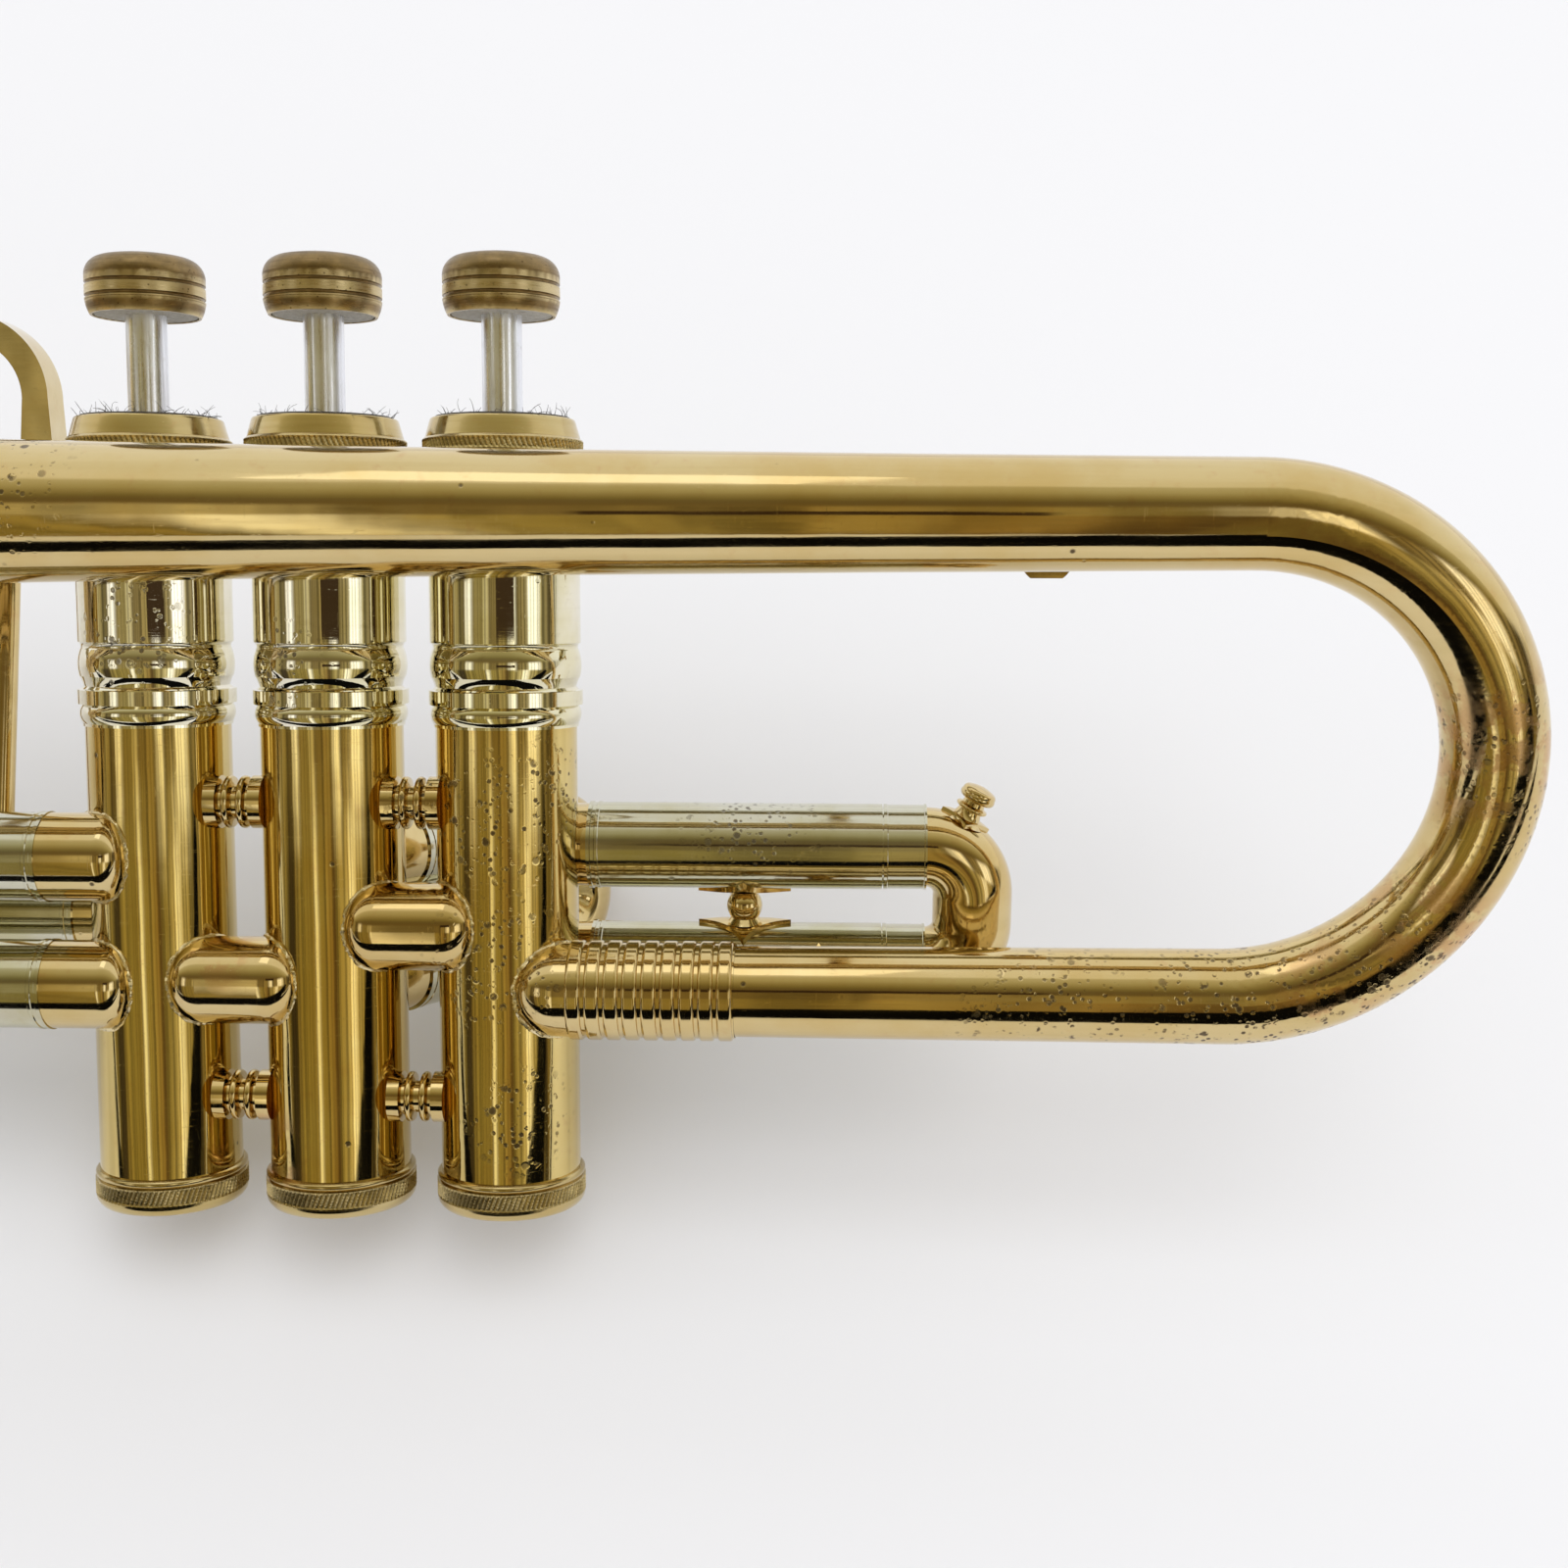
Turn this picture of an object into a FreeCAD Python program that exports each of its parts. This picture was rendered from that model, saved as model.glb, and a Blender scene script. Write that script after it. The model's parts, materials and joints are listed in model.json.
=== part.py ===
import FreeCAD, Part
import math
import os

# Flugelhorn with three piston valves, lying at rest on its bell rim, one valve cap and a slide knob.
#
# Everything is first built in the player's frame, in millimetres:
#   X runs back towards the player, Y runs up along the valves, Z points to the player's left,
#   and the origin is on the second valve's axis at the height of the bell's axis.
# At the end one rotation lays the horn down and moves it onto the ground, with +Z up.

V = FreeCAD.Vector
BACK = V(1, 0, 0)
FRONT = V(-1, 0, 0)
UP = V(0, 1, 0)
DOWN = V(0, -1, 0)
LEFT = V(0, 0, 1)
RIGHT = V(0, 0, -1)

# ---------------------------------------------------------------- driving dimensions
VALVE_SPACING = 25.0
VALVE_X = {1: VALVE_SPACING, 2: 0.0, 3: -VALVE_SPACING}
CASING_R = 10.0
CASING_BORE_R = 8.80
CASING_TOP_Y = -29.2
CASING_SEAM_Y = -93.3
THREAD_R = 9.40
BALUSTER_R = 10.6
BALUSTER_TOP_Y = 8.7
TOP_CAP_Y = 13.7
BOTTOM_CAP_Y = -98.6
PISTON_R = 8.76
PISTON_TOP_Y = -27.0
PISTON_BOTTOM_Y = -76.0
STROKE = 13.5
STEM_R = 2.8
BUTTON_R = 8.1
BUTTON_BOTTOM_Y = 28.5
BUTTON_RIM_Y = 27.8      # the rim hangs down around the felt in the button's hollow underside
BUTTON_TOP_Y = 36.2

BORE_R = 5.45            # air column through valves and slides
TUBE_R = 5.85            # inner slide tubes, crossovers and bows
RUNNING_GAP = 0.05       # radial clearance of a slide tube in its sleeve
SLEEVE_R = 6.25
FERRULE_R = 6.15
SLIDE_BEND_R = 6.9       # centre line of the two quarter bends in a valve slide's bow

BELL_Z = 20.5            # the bell passes on the player's left of the valves
BELL_RIM_X = -305.0
BELL_RIM_R = 80.0
BELL_WALL = 0.6
BELL_THROAT_R = 5.6      # radius the flare formula tends to
BELL_FLARE_LENGTH = 95.0
BELL_FLARE_POWER = 2.231
BELL_SPLIT_X = -120.0    # the flare is a separate sheet, brazed to the throat here
BOW_X = 125.5
TAIL_Y = -66.0
TAIL_Z = 6.0
TAIL_R = 6.5
FERRULE_START_X = 34.5
FERRULE_END_X = 58.0
RIB_COUNT = 9

PORT_OFFSET_X = 8.0      # knuckles stand this far from their valve's axis along X
PORT_CROSS_Z = 5.8
CROSS_3_2_Y = -65.1
CROSS_2_1_Y = -57.2
CROSS_END_X = 8.4
CROSSOVER_R = 6.2
NOSE_SHARE = 0.45        # a knuckle's shallow round end, as a share of its radius
NOSE_OVERLAP = 0.85      # how much of the length saved by a shallow end the bar takes up

MOUTHPIPE_Y = 1.5
MOUTHPIPE_Z = -18.0
MOUTHPIPE_R = 5.35
MAIN_LOWER_Y = -58.0
MAIN_LOWER_Z = -9.0


# ---------------------------------------------------------------- shape helpers
def unit(vector):
    result = V(vector)
    result.normalize()
    return result


def rod(start, direction, radius, length):
    return Part.makeCylinder(radius, length, start, direction)


def pipe(start, direction, outer, inner, length):
    """A straight tube from start along direction."""
    return rod(start, direction, outer, length).cut(rod(start, direction, inner, length))


def between(start, end, radius):
    line = end - start
    return rod(start, line, radius, line.Length)


def turned(outline, origin=V(0, 0, 0), axis=UP):
    """Revolve an outline of (radius, height) points; a third pair in a row makes an arc."""
    edges = []
    here = outline[0]
    for step in outline[1:]:
        if len(step) == 2:
            edges.append(Part.LineSegment(V(here[0], 0, here[1]), V(step[0], 0, step[1])).toShape())
            here = step
        else:
            middle = V(step[0], 0, step[1])
            finish = V(step[2], 0, step[3])
            edges.append(Part.Arc(V(here[0], 0, here[1]), middle, finish).toShape())
            here = (step[2], step[3])
    first = outline[0]
    edges.append(Part.LineSegment(V(here[0], 0, here[1]), V(first[0], 0, first[1])).toShape())
    solid = Part.Face(Part.Wire(edges)).revolve(V(0, 0, 0), V(0, 0, 1), 360)
    solid.Placement = FreeCAD.Placement(origin, FreeCAD.Rotation(V(0, 0, 1), axis))
    return solid


def dome(radius, low, top):
    """The outline step for a shallow round top that ends on the axis."""
    sphere_r = (radius ** 2 + (top - low) ** 2) / (2 * (top - low))
    middle_r = radius / 2
    return (middle_r, top - sphere_r + math.sqrt(sphere_r ** 2 - middle_r ** 2), 0, top)


def block(centre, first, second, third, sizes):
    """A box with its edges along three square directions."""
    a, b, c = (direction * size for direction, size in zip((first, second, third), sizes))
    corner = centre - (a + b + c) * 0.5
    corners = [corner, corner + a, corner + a + b, corner + b, corner]
    return Part.Face(Part.makePolygon(corners)).extrude(c)


def bent_wire(points, radius):
    """Straight runs between the points, joined by tangent arcs of one radius."""
    edges = []
    start = points[0]
    for before, corner, after in zip(points, points[1:], points[2:]):
        into = unit(before - corner)
        out = unit(after - corner)
        half = into.getAngle(out) / 2
        reach = radius / math.tan(half)
        first = corner + into * reach
        last = corner + out * reach
        centre = corner + unit(into + out) * (radius / math.sin(half))
        middle = centre + unit(corner - centre) * radius
        if (first - start).Length > 1e-6:
            edges.append(Part.LineSegment(start, first).toShape())
        edges.append(Part.Arc(first, middle, last).toShape())
        start = last
    if (points[-1] - start).Length > 1e-6:
        edges.append(Part.LineSegment(start, points[-1]).toShape())
    return Part.Wire(edges)


def swept(wire, start_radius, end_radius=None):
    """A round bar along a wire, tapering from one radius to the other."""
    first = wire.Edges[0]
    last = wire.Edges[-1]
    begin = Part.Wire(Part.makeCircle(start_radius, first.valueAt(first.FirstParameter),
                                      first.tangentAt(first.FirstParameter)))
    shell = Part.BRepOffsetAPI.MakePipeShell(wire)
    shell.setFrenetMode(True)
    shell.add(begin)
    if end_radius is not None:
        shell.add(Part.Wire(Part.makeCircle(end_radius, last.valueAt(last.LastParameter),
                                            last.tangentAt(last.LastParameter))))
    shell.build()
    shell.makeSolid()
    return shell.shape()


def hollow(wire, outer, inner, outer_end=None, inner_end=None):
    return swept(wire, outer, outer_end).cut(swept(wire, inner, inner_end))


def fused(*solids):
    result = solids[0]
    for solid in solids[1:]:
        result = result.fuse(solid)
    return result.removeSplitter()


def group(solids):
    return Part.makeCompound(solids)


def saddle_pad(centre, tube_axis, outward, tube_radius, half_length=6.8, half_width=4.6):
    """A thin diamond-shaped flange with hollow edges that wraps a tube, facing outward."""
    thickness = 0.7
    hollow_share = 0.4
    across = outward.cross(tube_axis)
    corners = [centre + tube_axis * half_length, centre + across * half_width,
               centre - tube_axis * half_length, centre - across * half_width]
    edges = []
    for start, end in zip(corners, corners[1:] + corners[:1]):
        middle = centre + ((start + end) * 0.5 - centre) * (1 - hollow_share * 0.5)
        edges.append(Part.Arc(start, middle, end).toShape())
    prism = Part.Face(Part.Wire(edges)).extrude(outward * (tube_radius + 3.0))
    reach = half_length + 1.0
    skin = pipe(centre - tube_axis * reach, tube_axis, tube_radius + thickness, tube_radius, 2 * reach)
    return prism.common(skin)


def stay(first, first_r, second, second_r, post_r=1.5, ball_r=None):
    """A soldered stay between two tubes that run along X: a post with a diamond flange at each end."""
    line = unit(second - first)
    start = first + line * (first_r + 0.15)
    end = second - line * (second_r + 0.15)
    body = between(start, end, post_r)
    for point, outward, radius in ((first, line, first_r), (second, line * -1, second_r)):
        root = point + outward * (radius + 0.35)
        foot = Part.makeCone(post_r + 1.0, post_r, 1.2, root, outward)
        body = body.fuse(foot).fuse(saddle_pad(point, BACK, outward, radius))
    if ball_r:
        body = body.fuse(Part.makeSphere(ball_r, (start + end) * 0.5))
    for point, radius in ((first, first_r), (second, second_r)):
        body = body.cut(rod(point - BACK * 20, BACK, radius, 40))
    return body.removeSplitter()


# ---------------------------------------------------------------- bell
def bell_radius(x):
    """Outer radius of the bell at x: it opens ever faster towards the rim."""
    from_rim = x - BELL_RIM_X
    opening = (BELL_RIM_R - BELL_THROAT_R) * (1 + from_rim / BELL_FLARE_LENGTH) ** -BELL_FLARE_POWER
    return BELL_THROAT_R + opening


def bell_section(x_start, x_end, count):
    """One length of the bell's sheet, between two places along its axis."""
    stations = [x_start + (x_end - x_start) * (i / count) ** 1.5 for i in range(count + 1)]
    curves = []
    for wall in (0.0, BELL_WALL):
        spline = Part.BSplineCurve()
        spline.interpolate([V(bell_radius(x) - wall, 0, x) for x in stations])
        curves.append(spline.toShape())
    outer, inner = curves
    ends = [Part.LineSegment(V(bell_radius(x), 0, x), V(bell_radius(x) - BELL_WALL, 0, x)).toShape()
            for x in (x_start, x_end)]
    face = Part.Face(Part.Wire([outer, ends[1], inner, ends[0]]))
    solid = face.revolve(V(0, 0, 0), V(0, 0, 1), 360)
    solid.Placement = FreeCAD.Placement(V(0, 0, BELL_Z), FreeCAD.Rotation(V(0, 0, 1), BACK))
    return solid


def rim_bead():
    """The sheet rolled over a wire at the mouth."""
    wire_r = 1.7
    return Part.makeTorus(BELL_RIM_R - wire_r, wire_r, V(BELL_RIM_X + 0.9, 0, BELL_Z), BACK)


def bell_flare():
    return fused(bell_section(BELL_RIM_X, BELL_SPLIT_X, 14), rim_bead())


def bell_bow():
    """The half-circle behind the valves, from the bell down to the tail."""
    top = V(BOW_X, 0, BELL_Z)
    bottom = V(BOW_X, TAIL_Y, TAIL_Z)
    middle = (top + bottom) * 0.5
    apex = middle + BACK * ((top - bottom).Length / 2)
    wire = Part.Wire(Part.Arc(top, apex, bottom).toShape())
    start_r = bell_radius(BOW_X)
    end_r = TAIL_R + 0.15
    return hollow(wire, start_r, start_r - BELL_WALL, end_r, end_r - BELL_WALL)


def bell_tail():
    """The straight, slightly tapered tube from the bow into the ribbed ferrule."""
    start_r = TAIL_R + 0.15
    length = BOW_X - FERRULE_START_X - 4.0
    place = V(BOW_X, TAIL_Y, TAIL_Z)
    outside = Part.makeCone(start_r, TAIL_R - 0.2, length, place, FRONT)
    return outside.cut(Part.makeCone(start_r - BELL_WALL, TAIL_R - 0.2 - BELL_WALL, length, place, FRONT))


def ribbed_ferrule():
    """The sleeve that joins the tail to the first valve, turned with ribs that have round shoulders."""
    root_r = TAIL_R + 0.15
    rib_r = TAIL_R + 0.5
    pitch = (FERRULE_END_X - FERRULE_START_X) / RIB_COUNT
    gap = 0.25
    shoulder = 0.55
    round_r = rib_r - 0.12
    outline = [(TAIL_R, 0), (root_r, 0)]
    for index in range(RIB_COUNT):
        low = index * pitch + gap
        high = (index + 1) * pitch - gap
        outline.append((root_r, low))
        outline.append((round_r, low + 0.15, rib_r, low + shoulder))
        outline.append((rib_r, high - shoulder))
        outline.append((round_r, high - 0.15, root_r, high))
    outline += [(root_r, RIB_COUNT * pitch), (TAIL_R, RIB_COUNT * pitch)]
    sleeve = turned(outline, V(FERRULE_START_X, TAIL_Y, TAIL_Z), BACK)
    return sleeve.cut(bell_tail()).cut(valve_space(1))


# ---------------------------------------------------------------- valve casings
def ports():
    """Every port as (valve, x and z offset from the valve's axis, height)."""
    slide_2 = second_slide_direction() * 10.0
    return {
        "main": (3, -PORT_OFFSET_X, MAIN_LOWER_Z, MAIN_LOWER_Y),
        "third_upper": (3, -PORT_OFFSET_X, 7.0, -47.5),
        "third_lower": (3, -PORT_OFFSET_X, 7.0, -65.7),
        "out_3": (3, CROSS_END_X, PORT_CROSS_Z, CROSS_3_2_Y),
        "in_2": (2, -CROSS_END_X, PORT_CROSS_Z, CROSS_3_2_Y),
        "second_upper": (2, slide_2.x, slide_2.z, -48.5),
        "second_lower": (2, slide_2.x, slide_2.z, -66.8),
        "out_2": (2, CROSS_END_X, PORT_CROSS_Z, CROSS_2_1_Y),
        "in_1": (1, -CROSS_END_X, PORT_CROSS_Z, CROSS_2_1_Y),
        "first_upper": (1, PORT_OFFSET_X, -7.0, -47.1),
        "first_lower": (1, PORT_OFFSET_X, -9.5, -65.2),
        "bell": (1, PORT_OFFSET_X, TAIL_Z, TAIL_Y),
    }


def second_slide_direction():
    """The second slide leaves to the player's right, turned back towards the player."""
    angle = math.radians(31)
    return V(math.sin(angle), 0, -math.cos(angle))


def port_point(name):
    valve, x, z, y = ports()[name]
    return V(VALVE_X[valve] + x, y, z)


def port_bore(name, radius=BORE_R):
    """The round hole from a valve's axis out to the port's knuckle."""
    valve, x, z, y = ports()[name]
    return between(V(VALVE_X[valve], y, 0), V(VALVE_X[valve] + x, y, z), radius)


def casing(valve):
    x = VALVE_X[valve]
    outline = [(CASING_BORE_R, CASING_TOP_Y), (CASING_R, CASING_TOP_Y), (CASING_R, CASING_SEAM_Y),
               (THREAD_R, CASING_SEAM_Y), (THREAD_R, CASING_SEAM_Y - 3.4),
               (CASING_BORE_R, CASING_SEAM_Y - 3.4)]
    body = turned(outline, V(x, 0, 0))
    for name, port in ports().items():
        if port[0] == valve:
            body = body.cut(port_bore(name))
    return body


def baluster(valve):
    """The nickel sleeve above the casing, with its turned rings."""
    step_y = -17.4
    outline = [
        (CASING_BORE_R, CASING_TOP_Y), (10.25, CASING_TOP_Y), (10.25, -28.8),
        (10.65, -27.5, 10.25, -26.2),
        (10.85, -26.1), (10.85, -24.1), (10.3, -24.0), (9.95, -23.6),
        (10.15, -22.9, 10.5, -22.2), (10.68, -20.2, 10.3, -18.4),
        (10.2, -18.0, 10.35, -17.6), (BALUSTER_R, step_y),
        (BALUSTER_R, BALUSTER_TOP_Y), (9.85, BALUSTER_TOP_Y), (9.85, 11.8), (CASING_BORE_R, 11.8),
    ]
    body = turned(outline, V(VALVE_X[valve], 0, 0))
    notch = Part.makeBox(19.2, 2.5, 3.7, V(VALVE_X[valve] - 9.6, -25.2, -1.85))
    return body.cut(notch)


def top_cap(valve):
    outline = [
        (9.9, 8.9), (11.0, 8.9), (11.2, 9.1), (11.2, 10.8), (10.95, 11.05),
        (10.1, 13.5), (9.9, TOP_CAP_Y), (9.45, TOP_CAP_Y), (9.35, 12.7), (3.3, 12.7),
        (3.3, 11.9), (9.9, 11.9),
    ]
    return turned(outline, V(VALVE_X[valve], 0, 0))


def bottom_cap(valve):
    inside_r = THREAD_R + 0.05
    outline = [
        (inside_r, CASING_SEAM_Y), (10.3, CASING_SEAM_Y), (10.5, -93.85, 10.3, -94.4), (10.65, -94.5),
        (10.65, -97.0), (10.45, -98.15, 9.4, BOTTOM_CAP_Y), (7.2, BOTTOM_CAP_Y), (6.9, -98.3),
        (2.4, -98.3), (2.4, -97.4), (inside_r, -97.4),
    ]
    return turned(outline, V(VALVE_X[valve], 0, 0))


def bullet(start, direction, radius, length, both_ends=False, nose_share=NOSE_SHARE):
    """A bar from start along direction, with a round nose before its start and, if wanted, past its end."""
    nose = nose_share * radius
    extra = NOSE_OVERLAP * (radius - nose)
    length += extra
    middle_r, middle_h, _, _ = dome(radius, 0, nose)
    outline = [(0, -nose), (middle_r, -middle_h, radius, 0)]
    if both_ends:
        length += extra
        outline += [(radius, length), dome(radius, length, length + nose)]
    else:
        outline += [(radius, length), (0, length)]
    return turned(outline, start - direction * extra, direction)


def valve_space(valve):
    return rod(V(VALVE_X[valve], -120, 0), UP, CASING_R, 140)


def knuckle(name, radius, direction, length, nose_share=NOSE_SHARE):
    """A short cast elbow: a round nose against the casing and a sleeve leaving along direction."""
    start = port_point(name)
    body = bullet(start, direction, radius, length, nose_share=nose_share)
    air = bullet(start, direction, BORE_R, length + 1, nose_share=nose_share)
    body = body.cut(air).cut(valve_space(ports()[name][0])).cut(port_bore(name))
    return max(body.Solids, key=lambda solid: solid.Volume)


def port_knuckles():
    """The eight short elbows and stubs soldered to the casings."""
    parts = [
        knuckle("bell", 6.6, BACK, FERRULE_START_X - 33.0, nose_share=1.0),
        knuckle("first_upper", TUBE_R + 0.2, BACK, 3.0),
        knuckle("first_lower", TUBE_R + 0.2, BACK, 3.0),
        knuckle("third_upper", 6.2, FRONT, 5.3),
        knuckle("third_lower", 6.2, FRONT, 5.3),
        knuckle("main", TUBE_R + 0.2, FRONT, 7.0),
        knuckle("second_upper", TUBE_R + 0.2, second_slide_direction(), 3.0),
        knuckle("second_lower", TUBE_R + 0.2, second_slide_direction(), 3.0),
    ]
    return group(parts)


def crossover(start_name, end_name):
    """A tube with round ends that carries the air from one valve to the next."""
    start = port_point(start_name)
    length = (port_point(end_name) - start).Length
    inner_r = BORE_R - 0.2
    body = bullet(start, BACK, CROSSOVER_R, length, both_ends=True)
    body = body.cut(bullet(start, BACK, inner_r, length, both_ends=True))
    for name in (start_name, end_name):
        body = body.cut(valve_space(ports()[name][0])).cut(port_bore(name, inner_r))
    return max(body.Solids, key=lambda solid: solid.Volume)


def valve_braces():
    """Four turned spools that tie the casings together, two at each level."""
    parts = []
    reach = 4.0
    for left_valve in (3, 2):
        for y, radius in ((-39.9, 3.75), (-82.2, 3.6)):
            x = VALVE_X[left_valve]
            ring_r = radius - 0.25
            groove_r = radius - 0.95
            waist_r = radius - 1.3
            half = [
                (radius, -reach), (radius, -2.3), (groove_r, -2.1), (groove_r, -1.7), (ring_r, -1.5),
                (radius, -1.05, ring_r, -0.6), (waist_r, -0.4),
            ]
            mirrored = [(waist_r, 0.4), (ring_r, 0.6), (radius, 1.05, ring_r, 1.5), (groove_r, 1.7),
                        (groove_r, 2.1), (radius, 2.3), (radius, reach)]
            outline = [(0, -reach)] + half + mirrored + [(0, reach)]
            spool = turned(outline, V(x + VALVE_SPACING / 2, y, 4.0), BACK)
            for valve_x in (x, x + VALVE_SPACING):
                spool = spool.cut(rod(V(valve_x, -120, 0), UP, CASING_R, 140))
            parts.append(spool)
    return group(parts)


# ---------------------------------------------------------------- inside the valves
def passage(start_name, end_name, shift, radius):
    """A bent air way through a piston: in to the axis and out again, raised by shift."""
    valve, x1, z1, y1 = ports()[start_name]
    x2, z2, y2 = ports()[end_name][1:]
    axis_x = VALVE_X[valve]
    centre = V(axis_x, (y1 + y2) / 2 + shift, 0)
    parts = [Part.makeSphere(radius, centre)]
    for x, z, y in ((x1, z1, y1), (x2, z2, y2)):
        outward = unit(V(x, 0, z)) * (PISTON_R + 2)
        parts.append(between(centre, V(axis_x, y + shift, 0) + outward, radius))
    return fused(*parts)


def piston(valve):
    """The ported body with its spring barrel above."""
    x = VALVE_X[valve]
    length = PISTON_TOP_Y - PISTON_BOTTOM_Y
    full = rod(V(x, PISTON_BOTTOM_Y, 0), UP, PISTON_R, length)
    shell = full.cut(rod(V(x, PISTON_BOTTOM_Y - 1, 0), UP, PISTON_R - 0.8, length - 0.5))
    ways = {
        3: (("main", "out_3", 0), ("main", "third_upper", STROKE), ("third_lower", "out_3", STROKE)),
        2: (("in_2", "out_2", 0), ("in_2", "second_lower", STROKE), ("second_upper", "out_2", STROKE)),
        1: (("in_1", "bell", 0), ("in_1", "first_upper", STROKE), ("first_lower", "bell", STROKE)),
    }[valve]
    for start, end, shift in ways:
        shell = shell.fuse(passage(start, end, shift, BORE_R + 0.1).common(full))
    for start, end, shift in ways:
        shell = shell.cut(passage(start, end, shift, BORE_R - 0.35))
    barrel_r = 7.7
    barrel = pipe(V(x, PISTON_TOP_Y, 0), UP, barrel_r, barrel_r - 0.8, 6.0 - PISTON_TOP_Y)
    slot = Part.makeBox(2 * barrel_r + 2, 18.5, 4.2, V(x - barrel_r - 1, -26.5, -2.1))
    return shell.fuse(barrel.cut(slot)).removeSplitter()


def valve_stem(valve):
    outline = [
        (0, 6.0), (7.7, 6.0), (7.7, 7.9), (4.0, 8.0), (4.0, 8.05), (STEM_R, 8.05),
        (STEM_R, BUTTON_BOTTOM_Y), (1.6, BUTTON_BOTTOM_Y), (1.6, 32.0), (0, 32.0),
    ]
    return turned(outline, V(VALVE_X[valve], 0, 0))


def finger_button(valve):
    groove = 0.32
    outline = [
        (1.6, BUTTON_BOTTOM_Y), (7.0, BUTTON_BOTTOM_Y), (7.1, BUTTON_RIM_Y), (7.45, BUTTON_RIM_Y),
        (7.9, 28.9, BUTTON_R, 29.9), (BUTTON_R - groove, 30.15, BUTTON_R, 30.4),
        (BUTTON_R, 31.7), (BUTTON_R - groove, 31.95, BUTTON_R, 32.2),
        (BUTTON_R, 32.9), (7.55, 34.75, 5.9, 35.75), dome(5.9, 35.75, BUTTON_TOP_Y), (0, 32.0), (1.6, 32.0),
    ]
    return turned(outline, V(VALVE_X[valve], 0, 0))


def button_felt(valve):
    x = VALVE_X[valve]
    thickness = 0.6
    return pipe(V(x, BUTTON_BOTTOM_Y - thickness, 0), UP, 6.9, STEM_R, thickness)


def top_cap_felts():
    """In each cap, one felt washer under the button and one that the stem's flange stops on."""
    parts = []
    for x in VALVE_X.values():
        parts.append(pipe(V(x, 12.7, 0), UP, 9.3, 3.3, 1.25))
        parts.append(pipe(V(x, 8.1, 0), UP, 8.6, 4.4, 3.8))
    return group(parts)


def valve_guides():
    """The keyed bars that cross the spring barrels and stop the pistons turning."""
    parts = []
    for x in VALVE_X.values():
        bar = Part.makeBox(19.0, 2.0, 3.5, V(x - 9.5, -25.0, -1.75))
        seat = rod(V(x, -25.0, 0), UP, 6.7, 2.0)
        parts.append(fused(bar, seat).cut(rod(V(x, -26, 0), UP, 1.5, 4)))
    return group(parts)


def valve_springs():
    """Coil springs between each guide and the underside of the stem's flange."""
    coil_r = 5.9
    wire_r = 0.45
    turns = 7
    low = -23.0 + wire_r
    pitch = (6.0 - wire_r - low) / turns
    edges = []
    for turn in range(turns):
        helix = Part.makeHelix(pitch, pitch, coil_r)
        helix.translate(V(0, 0, turn * pitch))
        edges += helix.Edges
    profile = Part.Wire(Part.makeCircle(wire_r, V(coil_r, 0, 0), V(0, 1, 0)))
    coil = Part.Wire(edges).makePipeShell([profile], True, True)
    parts = []
    for x in VALVE_X.values():
        spring = coil.copy()
        spring.Placement = FreeCAD.Placement(V(x, low, 0), FreeCAD.Rotation(V(0, 0, 1), UP))
        parts.append(spring)
    return group(parts)


# ---------------------------------------------------------------- slides
class Slide:
    """A U-shaped slide: two parallel legs that leave their ports along one direction."""

    def __init__(self, upper, lower, direction, sleeve_start, sleeve_end, bow_start, tube_start):
        self.upper = upper
        self.lower = lower
        self.direction = direction
        self.sleeve_start = sleeve_start
        self.sleeve_end = sleeve_end
        self.bow_start = bow_start
        self.tube_start = tube_start

    def legs(self):
        return (self.upper, self.lower)

    def at(self, leg, distance):
        return leg + self.direction * distance

    def sleeves(self):
        """The fixed outer tubes, with a small ring at each end."""
        length = self.sleeve_end - self.sleeve_start
        inner = TUBE_R + RUNNING_GAP
        outline = [
            (inner, 0), (SLEEVE_R + 0.15, 0), (SLEEVE_R + 0.15, 0.5), (SLEEVE_R, 0.6), (SLEEVE_R, 1.1),
            (SLEEVE_R + 0.12, 1.2), (SLEEVE_R + 0.12, 1.6), (SLEEVE_R, 1.7),
            (SLEEVE_R, length), (inner, length),
        ]
        return [turned(outline, self.at(leg, self.sleeve_start), self.direction) for leg in self.legs()]

    def tubes(self):
        """The sliding inner tubes, each with the ferrule that stops it on its sleeve."""
        parts = []
        for leg in self.legs():
            ferrule_length = self.bow_start - self.sleeve_end
            tube = pipe(self.at(leg, self.tube_start), self.direction, TUBE_R, BORE_R,
                        self.bow_start - self.tube_start)
            outline = [
                (BORE_R + 0.1, 0.2), (FERRULE_R + 0.1, 0.2), (FERRULE_R + 0.1, 0.7), (FERRULE_R, 0.8),
                (FERRULE_R, ferrule_length - 0.4), (FERRULE_R + 0.12, ferrule_length - 0.3),
                (FERRULE_R + 0.12, ferrule_length), (BORE_R + 0.1, ferrule_length),
            ]
            parts.append(fused(tube, turned(outline, self.at(leg, self.sleeve_end), self.direction)))
        return parts

    def bow(self, bend=SLIDE_BEND_R):
        upper = self.at(self.upper, self.bow_start)
        lower = self.at(self.lower, self.bow_start)
        reach = self.direction * bend
        return hollow(bent_wire([upper, upper + reach, lower + reach, lower], bend), TUBE_R - 0.05, BORE_R)


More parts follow.
